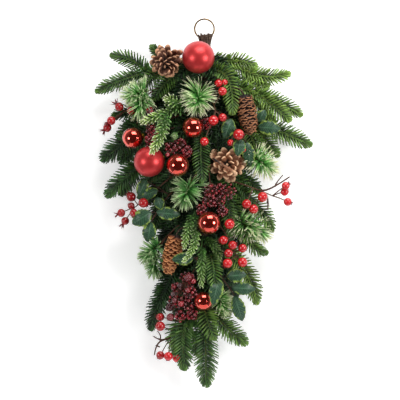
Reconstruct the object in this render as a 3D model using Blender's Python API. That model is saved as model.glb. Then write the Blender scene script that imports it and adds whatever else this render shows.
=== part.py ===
"""Christmas door swag: a teardrop of boughs, frosted pine, berries, cones and baubles on one wrapped stem.

The swag hangs from a wire ring. The origin is where the ring bears on its hook, +Z is up and the front looks
along -Y. Run it with blender --background --python part.py, or from Blender's text editor.
"""

import math

import bmesh
import bpy
from mathutils import Matrix, Quaternion, Vector
from mathutils.bvhtree import BVHTree

# Driving dimensions, in metres. The height is from the hook to the lowest needle, and the layout divides it
# in rows.
SWAG_HEIGHT = 0.684
LAYOUT_ROWS = 366
CELL = SWAG_HEIGHT / LAYOUT_ROWS

# What a pick's root leaves free to the stem, and what any two nodes leave free elsewhere.
SEAT_GAP = 0.00035
CLEARANCE = 0.0005

# The ring: the radius of its centre line and of its wire, where it parts at the bottom, and its two legs.
RING_RADIUS = 0.0182
RING_WIRE = 0.0015
RING_OPENING = math.radians(12)
RING_STEPS = 20
RING_LEG = 0.0024
RING_LEG_ROWS = (24.5, 33)

# The binding wire: its radius, and the rows between which its turns run.
BINDING_WIRE = 0.0006
BINDING_TURNS = 2
BINDING_STEPS = 10
BINDING_ROWS = (31, 26)
BINDING_SLACK = 0.0012

# The stalks' cut ends: how many, how far out they stand, how deep they are sunk and how far they rise. Their
# ring is flattened from front to back and spreads from foot to head, and the middle one is the tallest.
STUBS = 7
STUB_SPREAD = 0.0068
STUB_FLATNESS = 0.75
STUB_FOOT = 0.55
STUB_HEAD = 1.4
STUB_RADIUS = 0.0026
STUB_SUNK = 0.012
STUB_RISE = (0.002, 0.006)
STUB_MIDDLE_RISE = 1.4

# Sides of the sections that are round on the real thing.
STEM_SIDES = 8
RING_SIDES = 6
STUB_SIDES = 6
WIRE_SIDES = 4
BAUBLE_SIDES = 10
CONE_SIDES = 8
BERRY_SIDES = 5

# The wires that carry baubles and cones: their radius, the share of the stem's radius where they start, the
# shares of their length that run straight off the stem and straight into their load, and their stretches.
PICK_WIRE = 0.0012
WIRE_ROOT = 0.6
WIRE_LEAVES = 0.4
WIRE_ARRIVES = 0.35
WIRE_STEPS = 4

# The picks' stalks: radius, how much of it each stretch loses, how far they run straight off the stem as a
# share of the way to the point that they come from, and their stretches. Then their side stalks.
STALK_RADIUS = 0.0016
STALK_TAPER = 0.06
STALK_LEAVES = 0.45
STALK_STEPS = 5
TWIGLET_RADIUS = 0.0009
TWIGLET_LEAVES = 0.7
TWIGLET_STEPS = 3

# Baubles: the cap's radius and height, and the angles of the ball's rings from the cap, in degrees.
BAUBLE_NECK = 0.0055
BAUBLE_CAP_HEIGHT = 0.005
BAUBLE_RINGS = (42, 70, 98, 126, 154)

# A leaf's half widths from stalk to tip, as shares of its width, its wave, its arch, how far its edges fall
# behind the middle, and its leafstalk.
BLADE_THICKNESS = 0.0009
LEAF_OUTLINE = (0.05, 0.08, 0.46, 0.50, 0.34, 0.03)
LEAF_WAVE = 0.07
LEAF_ARCH = 0.14
LEAF_FOLD = 0.25
LEAFSTALK = 0.008

# Berries: the angles of the ball's rings from the stalk, in degrees, and where the stalk meets the ball and
# the point stands beyond it, in radii from the centre.
BERRY_RINGS = (42, 88, 134)
BERRY_ROOT = 0.97
BERRY_POINT = 1.16

# Beads on a lump: how far a bead's shoulder and peak stand out, in the lump's radii, and the shoulder's width
# against the facet that it grows from. A lump's own stalk runs straight over this share of its way.
BEAD_SHOULDER = 0.24
BEAD_SHOULDER_WIDTH = 0.92
BEAD_PEAK = 0.52
LUMP_STALK_LEAVES = 0.6

# How far leaves and berries may bend to the front where a neighbour is in the way, best first.
LEAF_LIFTS = (0, 0.004, -0.004, 0.008, 0.012, 0.016, 0.020)
BERRY_LIFTS = (0, 0.003, 0.006, 0.009, 0.012, -0.004, 0.016)

FRONT = Vector((0, -1, 0))
UP = Vector((0, 0, 1))


def at(column, row, depth):
    """A place on the layout grid: columns right of the ring, rows down from the hook, depth forwards."""
    return Vector((column * CELL, -depth * CELL, -row * CELL))


# The wrapped stem: column, row and depth of its line, and its radius. It is drawn with this many stretches.
STEM_STEPS = 13
STEM_LINE = (
    (1.0, 18, 7.5, 0.0085),
    (0.5, 40, 8.0, 0.0085),
    (0.0, 75, 9.0, 0.0100),
    (0.0, 115, 10.5, 0.0110),
    (0.0, 160, 11.5, 0.0110),
    (0.0, 205, 11.5, 0.0100),
    (-0.5, 250, 10.0, 0.0080),
    (0.0, 303, 8.0, 0.0050),
)

# Baubles: centre, radius, and the row where the pick wire leaves the stem.
BAUBLES = {
    "matte_bauble_top": ((-6, 38, 32), 0.0302, 44),
    "matte_bauble_left": ((-55, 142, 37), 0.0284, 128),
    "shiny_bauble_left": ((-71.5, 118.5, 27), 0.0196, 104),
    "shiny_bauble_upper": ((-11.5, 108, 38), 0.0196, 98),
    "shiny_bauble_middle": ((-26.5, 145.5, 41), 0.0212, 136),
    "shiny_bauble_lower": ((4.5, 203, 38), 0.0216, 196),
    "shiny_bauble_bottom": ((-1, 281, 30), 0.0176, 272),
}

# Cones: the stalk end, the tip end, the widest radius without scales, scale length, and the row of the wire.
CONES = {
    "open_cone_top": ((-36, 38, 20), (-38, 46, 40), 0.0160, 0.0130, 42),
    "open_cone_middle": ((22, 145, 20), (22.5, 145, 38), 0.0150, 0.0140, 131),
    "long_cone_right": ((46, 110, 24), (39, 75, 24), 0.0125, 0.0040, 84),
    "long_cone_left": ((-28, 215, 28), (-36, 251, 28), 0.0140, 0.0040, 206),
}

# The bodies of open and of long cones, from the stalk end to the tip: shares of the length and of the width.
OPEN_CONE_PROFILE = (
    (0.0, 0.35),
    (0.05, 0.72),
    (0.24, 1.0),
    (0.45, 0.94),
    (0.66, 0.74),
    (0.86, 0.44),
    (1.0, 0.18),
)
LONG_CONE_PROFILE = (
    (0.0, 0.4),
    (0.04, 0.75),
    (0.15, 0.95),
    (0.28, 1.0),
    (0.42, 0.97),
    (0.56, 0.88),
    (0.70, 0.74),
    (0.84, 0.54),
    (0.95, 0.32),
    (1.0, 0.12),
)

# A cone's scales, in scale lengths: how much less they stand out at the tip, how far they lean towards it
# at the stalk end and how much more at the tip, and the width of an open scale's lip against its root.
SCALE_SHORTENS = 0.45
SCALE_LEANS = 0.15
SCALE_LEANS_MORE = 0.7
SCALE_LIP = 0.96

# Needled sprays. Each holds the row where it leaves the stem, then its twigs. A twig has the share of the
# first one's length where it forks off (None for the first), a point it comes from, and its tip.
SPRUCE_BOUGHS = {
    "spruce_bough_left_top": (
        53,
        (
            (None, (-52, 43, 9), (-106, 71, 8)),
            (0.46, (-66, 38, 11), (-91, 36, 10)),
            (0.28, (-42, 34, 9), (-52, 28, 9)),
        ),
    ),
    "spruce_bough_left_berry": (80, ((None, (-55, 84, 8), (-90, 96, 8)),)),
    "spruce_bough_left_upper": (95, ((None, (-60, 106, 10), (-100, 138, 8)),)),
    "spruce_bough_left_lower": (
        118,
        ((None, (-58, 136, 10), (-96, 174, 9)), (0.62, (-78, 160, 8), (-82, 172, 7))),
    ),
    "spruce_bough_left_inner": (134, ((None, (-34, 150, 15), (-46, 178, 15)),)),
    "spruce_bough_left_base": (
        224,
        ((None, (-33, 262, 10), (-47, 288, 9)), (0.50, (-50, 290, 8), (-53, 307, 8))),
    ),
    "spruce_bough_right_top": (
        38,
        (
            (None, (50, 66, 9), (83, 54, 9)),
            (0.16, (36, 38, 12), (50, 46, 12)),
            (0.42, (50, 66, 6), (62, 66, 6)),
        ),
    ),
    "spruce_bough_right_drop": (50, ((None, (29, 50, 30), (28, 92, 28)),)),
    "spruce_bough_right_wide": (
        62,
        ((None, (54, 72, 10), (95, 94, 10)), (0.48, (64, 84, 17), (84, 99, 16))),
    ),
    "spruce_bough_right_upper": (
        92,
        ((None, (62, 106, 9), (104, 124, 9)), (0.40, (56, 120, 9), (72, 134, 9))),
    ),
    "spruce_bough_right_inner": (150, ((None, (36, 156, 15), (43, 178, 17)),)),
    "spruce_bough_right_lower": (
        165,
        ((None, (54, 176, 9), (68, 207, 9)), (0.35, (44, 218, 8), (59, 233, 8))),
    ),
    "spruce_bough_right_base": (226, ((None, (44, 246, 9), (52, 281, 9)),)),
    "spruce_bough_bottom_right": (276, ((None, (20, 302, 10), (42, 321, 9)),)),
    "spruce_bough_bottom": (
        298,
        (
            (None, (1, 330, 10), (2, 363, 9)),
            (0.10, (-24, 314, 15), (-20, 346, 13)),
            (0.22, (-10, 326, 6), (-8, 345, 5)),
        ),
    ),
    "spruce_bough_centre": (112, ((None, (3, 118, 38), (1, 160, 36)),)),
    "spruce_bough_centre_low": (160, ((None, (25, 174, 28), (26, 213, 25)),)),
    "spruce_bough_centre_base": (252, ((None, (5, 258, 26), (9, 275, 27)),)),
}

FROSTED_PINES = {
    "frosted_pine_top": (66, ((None, (-6, 74, 26), (-7, 81, 35)),)),
    "frosted_pine_left_top": (
        62,
        ((None, (-50, 66, 17), (-68, 77, 22)), (0.55, (-50, 58, 20), (-61, 57, 21))),
    ),
    "frosted_pine_right_top": (120, ((None, (44, 132, 15), (62, 147, 21)),)),
    "frosted_pine_middle": (152, ((None, (-14, 164, 27), (-20, 178, 33)),)),
    "frosted_pine_left_low": (
        196,
        ((None, (-36, 216, 15), (-55, 231, 20)), (0.62, (-46, 234, 16), (-49, 247, 17))),
    ),
    "frosted_pine_right_low": (182, ((None, (30, 200, 18), (45, 214, 22)),)),
    "frosted_pine_base": (256, ((None, (12, 274, 17), (20, 293, 19)),)),
}

FLOCKED_SPRIGS = {
    "flocked_sprig_top": (
        84,
        (
            (None, (-34, 92, 34), (-60, 102, 37)),
            (0.55, (-38, 108, 50), (-51, 131, 54)),
            (0.35, (-30, 84, 33), (-39, 82, 36)),
        ),
    ),
    "flocked_sprig_left": (
        188,
        ((None, (-17, 200, 32), (-20, 226, 41)), (0.75, (-12, 226, 38), (-18, 239, 43))),
    ),
    "flocked_sprig_long": (216, ((None, (-4, 226, 34), (-3, 268, 34)),)),
}

# Leafy stems: the row where each leaves the stem, the point it comes from and its end, then its leaves. A
# leaf has its base, its tip and its width in cells.
LEAFY_STEMS = {
    "leafy_stem_top": (
        90,
        (22, 92, 26),
        (37, 117, 34),
        (
            ((27, 99, 32), (20, 119, 36), 14),
            ((36, 119, 36), (33, 136, 43), 13),
            ((42, 122, 29), (46, 147, 28), 13),
        ),
    ),
    "leafy_stem_right": (
        84,
        (40, 92, 14),
        (54, 105, 17),
        (((54, 106, 18), (79, 107, 19), 15), ((53, 102, 18), (61, 90, 19), 11)),
    ),
    "leafy_stem_left": (
        158,
        (-34, 168, 24),
        (-52, 200, 26),
        (
            ((-46, 170, 23), (-68, 178, 20), 12),
            ((-47, 177, 27), (-43, 189, 30), 11),
            ((-48, 192, 28), (-24, 195, 30), 13),
            ((-53, 192, 28), (-72, 204, 26), 17),
            ((-53, 202, 26), (-57, 222, 23), 14),
        ),
    ),
    "leafy_stem_middle": (
        222,
        (-4, 232, 20),
        (-8, 240, 38),
        (((-9, 240, 39), (-32, 242, 42), 13),),
    ),
    "leafy_stem_base": (
        240,
        (13, 252, 30),
        (30, 275, 25),
        (
            ((22, 256, 30), (42, 254, 30), 14),
            ((27, 267, 28), (51, 269, 26), 13),
            ((15, 258, 34), (8, 284, 43), 14),
            ((30, 275, 26), (38, 301, 22), 14),
        ),
    ),
}

# Berry sprays: the row where each leaves the stem, the point it comes from and its end, its berries (a place
# and a radius in cells), and its bare twigs (from, past and to a place).
BERRY_SPRAYS = {
    "berry_spray_right": (
        158,
        (40, 164, 22),
        (68, 176, 24),
        (
            ((81, 166, 26), 4.1),
            ((80, 175, 22), 4.1),
            ((83, 184, 26), 4.1),
            ((58, 182, 30), 5.0),
            ((42, 184, 32), 4.6),
            ((50, 191, 28), 4.6),
        ),
        (((54, 170, 24), (64, 171, 26), (85, 157, 26)), ((62, 175, 26), (64, 182, 24), (63, 190, 22))),
    ),
    "berry_spray_low": (
        198,
        (18, 204, 30),
        (32, 236, 30),
        (
            ((25, 204, 39), 5.0),
            ((19, 220, 37), 4.3),
            ((28, 225, 38), 4.3),
            ((38, 228, 34), 4.3),
            ((24, 233, 38), 4.3),
            ((23, 243, 38), 4.8),
            ((38, 242, 34), 4.8),
        ),
        (),
    ),
    "berry_spray_upper": (
        78,
        (10, 84, 30),
        (11, 92, 36),
        (((9, 101, 42), 5.0), ((18, 98, 40), 4.1), ((18, 73, 38), 4.0), ((0, 122, 44), 4.2)),
        (),
    ),
    "berry_spray_hip": (
        104,
        (26, 106, 18),
        (30, 114, 30),
        (((35, 112, 42), 5.4), ((25, 123, 36), 3.2)),
        (),
    ),
    "berry_spray_left_top": (
        70,
        (-50, 76, 13),
        (-80, 92, 15),
        (((-85, 87, 19), 4.5), ((-73, 91, 20), 4.2), ((-93, 101, 16), 4.5), ((-97, 108, 12), 4.4)),
        (),
    ),
    "berry_spray_left": (
        144,
        (-40, 164, 19),
        (-70, 188, 19),
        (
            ((-73, 177, 15), 4.9),
            ((-61, 183, 26), 4.9),
            ((-66, 194, 17), 4.4),
            ((-83, 193, 19), 4.2),
            ((-79, 201, 16), 4.1),
        ),
        (),
    ),
    "berry_spray_bottom": (
        262,
        (-24, 290, 14),
        (-34, 318, 15),
        (
            ((-44, 297, 17), 4.1),
            ((-44, 306, 20), 4.9),
            ((-34, 289, 22), 4.5),
            ((-34, 299, 23), 4.5),
            ((-44, 335, 17), 4.3),
            ((-36, 336, 21), 4.5),
        ),
        (((-33, 316, 15), (-42, 322, 14), (-51, 316, 15)), ((-34, 318, 15), (-48, 321, 12), (-50, 335, 13))),
    ),
}

# Sugared bead clusters: the row where the stalk leaves the stem, the point it comes from, and its lumps, each
# with a centre and a half size in cells.
BEAD_CLUSTERS = {
    "bead_cluster_left": (
        92,
        (-40, 100, 22),
        (((-52.5, 111, 32), 4.9), ((-53, 121, 34), 5.2)),
    ),
    "bead_cluster_upper": (
        102,
        (-14, 116, 26),
        (((-24, 125, 36), 5.6), ((-33, 128, 36), 5.0)),
    ),
    "bead_cluster_middle": (
        142,
        (5, 158, 26),
        (((6, 171, 33), 5.4), ((4, 181, 34), 5.6), ((24, 172, 33), 6.2)),
    ),
    "bead_cluster_base": (
        244,
        (-12, 256, 22),
        (((-17, 260, 30), 6.2), ((-19, 273, 31), 6.8), ((-21, 287, 28), 7.0)),
    ),
}

# Needled styles: stalk radius at the root and at the tip, needle length, the length of stalk that each
# whorl takes, the band that carries it, the share of the first twig left bare, needles round the stalk, and
# the angle between a needle and the stalk at the root and at the tip, in degrees.
SPRUCE = {
    "thick": (0.0019, 0.0011),
    "needle": 0.0205,
    "whorl": 0.0150,
    "band": 0.0026,
    "bare": 0.30,
    "sides": 4,
    "rise": (62, 26),
}
PINE = {
    "thick": (0.0019, 0.0014),
    "needle": 0.0380,
    "whorl": 0.0061,
    "band": 0.0022,
    "bare": 0.58,
    "sides": 5,
    "rise": (98, 24),
}
FLOCKED = {
    "thick": (0.0018, 0.0015),
    "needle": 0.0100,
    "whorl": 0.0112,
    "band": 0.0032,
    "bare": 0.42,
    "sides": 5,
    "rise": (58, 30),
}

# A side twig: the share of it that is left bare, how far it runs straight from its fork as a share of the
# way to the point that it comes from, and how far along the first twig its way is read. Then the longest
# bare stretch.
FORK_BARE = 0.16
FORK_LEAVES = 0.35
FORK_AHEAD = 0.08
BARE_STRETCH = 0.022

# Needles: how far even and odd ones swing round the stalk, in degrees, their length at the root and how
# much it grows, what it loses at the tip, how uneven it is, and the bud at the end of a twig, all in needle
# lengths.
NEEDLE_SWINGS = (-6, 20)
NEEDLE_AT_ROOT = 0.82
NEEDLE_GROWS = 0.18
NEEDLE_FADES = 0.40
NEEDLE_UNEVEN = 0.10
BUD_LENGTH = 0.38

# How a needle gives way to a neighbour, best first: its bend round the stalk, in degrees, and what is left of
# its length.
NEEDLE_WAYS = ((0, 1), (0, 0.82), (24, 0.9), (-24, 0.9), (0, 0.62), (40, 0.7), (-40, 0.7), (0, 0.4))

COLOURS = {
    "bronze": ((0.42, 0.29, 0.13), 0.35, 1.0),
    "florist_wire": ((0.10, 0.13, 0.08), 0.5, 1.0),
    "stem_wrap": ((0.13, 0.08, 0.05), 0.85, 0.0),
    "matte_red": ((0.60, 0.05, 0.05), 0.4, 0.3),
    "shiny_red": ((0.55, 0.03, 0.02), 0.06, 0.9),
    "cone_brown": ((0.30, 0.16, 0.08), 0.75, 0.0),
    "spruce_green": ((0.07, 0.16, 0.04), 0.55, 0.0),
    "frosted_green": ((0.30, 0.47, 0.28), 0.6, 0.0),
    "flocked_green": ((0.42, 0.52, 0.24), 0.7, 0.0),
    "leaf_green": ((0.09, 0.20, 0.11), 0.4, 0.0),
    "berry_red": ((0.62, 0.03, 0.03), 0.25, 0.0),
    "bead_burgundy": ((0.28, 0.02, 0.04), 0.3, 0.0),
}

trees = {}
parts = bpy.data.collections.new("christmas_door_swag")


def clear_scene():
    for item in list(bpy.data.objects):
        bpy.data.objects.remove(item)
    bpy.context.scene.collection.children.link(parts)


def material(name):
    """The plain material of one finish, made when it is first asked for."""
    found = bpy.data.materials.get(name)
    if found:
        return found
    colour, roughness, metallic = COLOURS[name]
    made = bpy.data.materials.new(name)
    made.use_nodes = True
    shader = made.node_tree.nodes["Principled BSDF"]
    shader.inputs["Base Color"].default_value = (*colour, 1)
    shader.inputs["Roughness"].default_value = roughness
    shader.inputs["Metallic"].default_value = metallic
    return made


# Paths and tubes.


def curve_points(start, handle, via, tip, count=36):
    """Points of one smooth curve that leaves start towards handle and reaches tip from the side of via."""
    points = []
    for i in range(count + 1):
        t = i / count
        s = 1 - t
        points.append(s**3 * start + 3 * s * s * t * handle + 3 * s * t * t * via + t**3 * tip)
    return points


def lengths_along(points):
    found = [0.0]
    for a, b in zip(points, points[1:]):
        found.append(found[-1] + (b - a).length)
    return found


def point_at(points, lengths, distance):
    """The point that lies this far along a line of points."""
    for i in range(len(points) - 1):
        if distance <= lengths[i + 1] or i == len(points) - 2:
            share = (distance - lengths[i]) / max(lengths[i + 1] - lengths[i], 1e-9)
            return points[i].lerp(points[i + 1], share)


def smooth_line(places, values, count):
    """Evenly spread samples of a smooth line through places, with a value for each."""
    samples = []
    for i in range(count + 1):
        u = i / count * (len(places) - 1)
        k = min(int(u), len(places) - 2)
        t = u - k
        before = places[max(k - 1, 0)]
        after = places[min(k + 2, len(places) - 1)]
        a, b = places[k], places[k + 1]
        bend = (
            2 * a
            + (b - before) * t
            + (2 * before - 5 * a + 4 * b - after) * t * t
            + (3 * a - before - 3 * b + after) * t**3
        ) / 2
        samples.append((bend, values[k] + (values[k + 1] - values[k]) * t))
    return samples


def first_frame(heading):
    """Axes of a section across heading: sideways, to the front, and along."""
    front = FRONT - heading * FRONT.dot(heading)
    if front.length < 0.35:
        front = UP - heading * UP.dot(heading)
    front.normalize()
    side = front.cross(heading)
    return Matrix((side, front, heading)).transposed()


def grow_tube(bm, rings, sides, turn=0.0, first=None, last=None):
    """Extrudes a round section through rings, each a centre and a radius, and closes both ends.

    The end sections face along the path, or along first and last where they are given. Returns the faces
    round each stretch, the section's axes at each ring and the end face.
    """
    centres = [ring[0] for ring in rings]
    headings = []
    for i in range(len(rings)):
        ahead = centres[min(i + 1, len(rings) - 1)] - centres[max(i - 1, 0)]
        headings.append(ahead.normalized())
    headings[0] = first or headings[0]
    headings[-1] = last or headings[-1]
    axes = first_frame(headings[0])
    place = Matrix.Translation(centres[0]) @ axes.to_4x4()
    made = bmesh.ops.create_circle(bm, cap_ends=True, segments=sides, radius=rings[0][1], matrix=place)
    end = made["verts"][0].link_faces[0]
    stretches, frames = [], [axes]
    for i in range(1, len(rings)):
        swing = headings[i - 1].rotation_difference(headings[i])
        swing = Quaternion(headings[i], turn) @ swing
        size = rings[i][1] / rings[i - 1][1]
        move = (
            Matrix.Translation(centres[i])
            @ swing.to_matrix().to_4x4()
            @ Matrix.Scale(size, 4)
            @ Matrix.Translation(-centres[i - 1])
        )
        made = bmesh.ops.extrude_face_region(bm, geom=[end, *end.edges, *end.verts])["geom"]
        end = next(item for item in made if isinstance(item, bmesh.types.BMFace))
        bmesh.ops.transform(bm, matrix=move, verts=end.verts)
        axes = swing.to_matrix() @ axes
        frames.append(axes)
        stretches.append([face for edge in end.edges for face in edge.link_faces if face is not end])
    return stretches, frames, end


def solid_tree(bm):
    return BVHTree.FromBMesh(bm)


def is_clear(corners, faces, own):
    """Whether a small closed shape, already grown by the clearance, meets no piece but its own."""
    tree = BVHTree.FromPolygons(corners, faces)
    return not any(tree.overlap(other) for key, other in trees.items() if key != own)


def spine_point(row):
    """The stem's centre at a row of the layout, and its radius there."""
    height = -row * CELL
    for (a, radius_a), (b, radius_b) in zip(SPINE, SPINE[1:]):
        if b.z <= height <= a.z:
            share = (a.z - height) / (a.z - b.z)
            return a.lerp(b, share), radius_a + (radius_b - radius_a) * share
    return SPINE[-1]


def seat_on_stem(row, towards):
    """Where a stalk that leaves the stem for a place starts, and the way that its facet looks there."""
    centre, radius = spine_point(row)
    out = towards - centre
    out.z = 0
    out.normalize()
    outside = centre + out * radius * 3
    hit, facing, _, _ = trees["stem_core"].ray_cast(outside, -out)
    return hit + facing * SEAT_GAP, facing


SPINE = smooth_line([at(c, r, d) for c, r, d, _ in STEM_LINE], [row[3] for row in STEM_LINE], STEM_STEPS)


# Joining.


def object_from(name, bm, finish):
    bmesh.ops.recalc_face_normals(bm, faces=bm.faces)
    mesh = bpy.data.meshes.new(name)
    bm.to_mesh(mesh)
    bm.free()
    mesh.materials.append(material(finish))
    made = bpy.data.objects.new(name, mesh)
    parts.objects.link(made)
    return made


def fuse(name, shapes, finish):
    """One object from closed shapes whose roots are sunk in the first one."""
    body = object_from(name, shapes[0], finish)
    if len(shapes) > 1:
        joined = bpy.data.collections.new(name + "_joined")
        bpy.context.scene.collection.children.link(joined)
        for i, shape in enumerate(shapes[1:]):
            piece = object_from(f"{name}_{i}", shape, finish)
            parts.objects.unlink(piece)
            joined.objects.link(piece)
        join = body.modifiers.new("join", "BOOLEAN")
        join.operation = "UNION"
        join.solver = "EXACT"
        join.operand_type = "COLLECTION"
        join.collection = joined
        bpy.context.view_layer.update()
        graph = bpy.context.evaluated_depsgraph_get()
        whole = bpy.data.meshes.new_from_object(body.evaluated_get(graph))
        body.modifiers.clear()
        body.data = whole
        for piece in list(joined.objects):
            bpy.data.objects.remove(piece)
        bpy.data.collections.remove(joined)
    return body


# The hanger and the wrapped stem.


def leg_back(row):
    """How far back the centre of each of the ring's legs lies at a row, where it rests on the stem's back."""
    behind = Vector((RING_LEG, 0.05, -row * CELL))
    hit, _, _, _ = trees["stem_core"].ray_cast(behind, FRONT)
    return hit.y + SEAT_GAP + RING_WIRE


def make_ring():
    """One wire bent into a ring, with both ends led down the back of the stem under the binding."""
    height = -(RING_RADIUS - RING_WIRE)
    turn = math.tau - 2 * RING_OPENING
    bow = []
    for i in range(RING_STEPS + 1):
        angle = -math.pi / 2 - RING_OPENING - turn * i / RING_STEPS
        bow.append(Vector((RING_RADIUS * math.cos(angle), 0, height + RING_RADIUS * math.sin(angle))))
    legs = [Vector((RING_LEG, leg_back(row), -row * CELL)) for row in RING_LEG_ROWS]
    mirrored = [Vector((-leg.x, leg.y, leg.z)) for leg in reversed(legs)]
    points = mirrored + bow + legs
    bm = bmesh.new()
    grow_tube(bm, [(point, RING_WIRE) for point in points], RING_SIDES)
    trees["hang_ring"] = solid_tree(bm)
    return object_from("hang_ring", bm, "bronze")


def make_stem():
    """The wrapped bundle of stalks, its cut ends at the top, and the wires that hold baubles and cones."""
    core = bmesh.new()
    grow_tube(core, SPINE, STEM_SIDES)
    trees["stem_core"] = solid_tree(core)
    shapes = [core]
    for i in range(STUBS):
        shapes.append(cut_end(i))
    for centre, radius, row in BAUBLES.values():
        shapes.append(pick_wire(row, at(*centre), radius + BAUBLE_CAP_HEIGHT))
    for stalk, tip, _, _, row in CONES.values():
        shapes.append(cone_wire(row, at(*stalk), at(*tip)))
    for i, shape in enumerate(shapes[1:]):
        trees[f"stem_{i}"] = solid_tree(shape)
    return fuse("wrapped_stem", shapes, "stem_wrap")


def cut_end(number):
    """One stalk's cut end: the last stands in the middle and is the tallest, the others lean out round it."""
    top = SPINE[0][0]
    angle = math.tau * number / (STUBS - 1)
    low, high = STUB_RISE
    if number == STUBS - 1:
        out, rise = Vector(), high * STUB_MIDDLE_RISE
    else:
        out = Vector((math.cos(angle), math.sin(angle) * STUB_FLATNESS, 0)) * STUB_SPREAD
        rise = low + (high - low) * (number * 3 % 5) / 4
    foot = top + out * STUB_FOOT - UP * STUB_SUNK
    head = top + out * STUB_HEAD + UP * rise
    stub = bmesh.new()
    grow_tube(stub, [(foot, STUB_RADIUS), (head, STUB_RADIUS)], STUB_SIDES)
    return stub


def stem_wire(row, target, end, inward):
    """A wire from inside the stem at a row, out towards target and, against inward, into its end."""
    centre, radius = spine_point(row)
    out = target - centre
    out.z = 0
    out.normalize()
    start = centre + out * radius * WIRE_ROOT
    reach = (end - start).length
    handle = start + out * reach * WIRE_LEAVES
    line = curve_points(start, handle, end + inward * reach * WIRE_ARRIVES, end, WIRE_STEPS)
    wire = bmesh.new()
    grow_tube(wire, [(point, PICK_WIRE) for point in line], WIRE_SIDES, last=-inward)
    return wire


def pick_wire(row, centre, stand_off):
    """The wire of a bauble, which ends at the bauble's cap."""
    inward = cap_direction(row, centre)
    return stem_wire(row, centre, centre + inward * (stand_off + SEAT_GAP), inward)


def cap_direction(row, centre):
    """From a bauble's centre to its cap, which faces the stem."""
    seat, radius = spine_point(row)
    return (seat + FRONT * radius - centre).normalized()


def cone_wire(row, stalk, tip):
    """The wire of a cone, which ends at the cone's stalk end."""
    inward = (stalk - tip).normalized()
    return stem_wire(row, stalk, stalk + inward * SEAT_GAP, inward)


def make_binding():
    """Florist's wire wound round the stem and the ring's two ends."""
    low, high = BINDING_ROWS
    count = BINDING_TURNS * BINDING_STEPS
    margin = SEAT_GAP + BINDING_WIRE
    points = []
    for i in range(count + 1):
        angle = math.tau * i / BINDING_STEPS
        row = low + (high - low) * i / count
        centre, radius = spine_point(row)
        front = centre.y - radius - margin - BINDING_SLACK / 2
        back = leg_back(row) + RING_WIRE + margin + BINDING_SLACK
        middle, reach = (front + back) / 2, (back - front) / 2
        across = (radius + margin + BINDING_SLACK) * math.cos(angle)
        points.append(Vector((centre.x + across, middle + reach * math.sin(angle), -row * CELL)))
    bm = bmesh.new()
    grow_tube(bm, [(point, BINDING_WIRE) for point in points], WIRE_SIDES)
    trees["binding_wire"] = solid_tree(bm)
    return object_from("binding_wire", bm, "florist_wire")


# Baubles and cones.


def ball_rings(centre, axis, radius, angles):
    return [(centre + axis * radius * math.cos(a), radius * math.sin(a)) for a in map(math.radians, angles)]


def make_bauble(name):
    """A ball with its crimped cap, which faces the stem."""
    place, radius, row = BAUBLES[name]
    centre = at(*place)
    inward = cap_direction(row, centre)
    neck = math.degrees(math.asin(BAUBLE_NECK / radius))
    rings = [(centre + inward * (radius + BAUBLE_CAP_HEIGHT), BAUBLE_NECK)]
    rings += ball_rings(centre, inward, radius, (neck, *BAUBLE_RINGS))
    bm = bmesh.new()
    _, _, end = grow_tube(bm, rings, BAUBLE_SIDES)
    pole = bmesh.ops.poke(bm, faces=[end])["verts"][0]
    pole.co = centre - inward * radius
    trees[name] = solid_tree(bm)
    return object_from(name, bm, "matte_red" if name.startswith("matte") else "shiny_red")


def make_cone(name):
    """A pine cone: a bulged body whose twisted facets are drawn out into scales."""
    stalk, tip, girth, scale, _ = CONES[name]
    stalk, tip = at(*stalk), at(*tip)
    is_open = name.startswith("open")
    profile = OPEN_CONE_PROFILE if is_open else LONG_CONE_PROFILE
    rings = [(stalk.lerp(tip, share), girth * width) for share, width in profile]
    bm = bmesh.new()
    stretches, _, _ = grow_tube(bm, rings, CONE_SIDES, turn=math.pi / CONE_SIDES)
    along = (tip - stalk).normalized()
    for i, faces in enumerate(stretches[1:], 1):
        share = i / len(stretches)
        for face in faces:
            middle = face.calc_center_median()
            out = middle - stalk
            out = (out - along * out.dot(along)).normalized()
            lean = SCALE_LEANS + SCALE_LEANS_MORE * share
            reach = out * scale * (1 - SCALE_SHORTENS * share) + along * scale * lean
            if is_open:
                made = bmesh.ops.extrude_discrete_faces(bm, faces=[face])["faces"][0]
                lip = Matrix.Translation(middle + reach) @ Matrix.Scale(SCALE_LIP, 4)
                bmesh.ops.transform(bm, matrix=lip @ Matrix.Translation(-middle), verts=made.verts)
            else:
                peak = bmesh.ops.poke(bm, faces=[face])["verts"][0]
                peak.co = middle + reach
    trees[name] = solid_tree(bm)
    return object_from(name, bm, "cone_brown")


# Needled sprays.


def twig_line(spray, index):
    """The line of one twig of a spray, and the way it leaves: the first from the stem, others from a fork."""
    root_row, twigs = spray
    share, via, tip = twigs[index]
    via, tip = at(*via), at(*tip)
    if share is None:
        start, out = seat_on_stem(root_row, via)
        handle = start + out * (via - start).length * STALK_LEAVES
    else:
        first, _ = twig_line(spray, 0)
        lengths = lengths_along(first)
        start = point_at(first, lengths, lengths[-1] * share)
        ahead = point_at(first, lengths, lengths[-1] * (share + FORK_AHEAD))
        out = (ahead - start).normalized()
        handle = start + out * (via - start).length * FORK_LEAVES
    return curve_points(start, handle, via, tip), out


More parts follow.
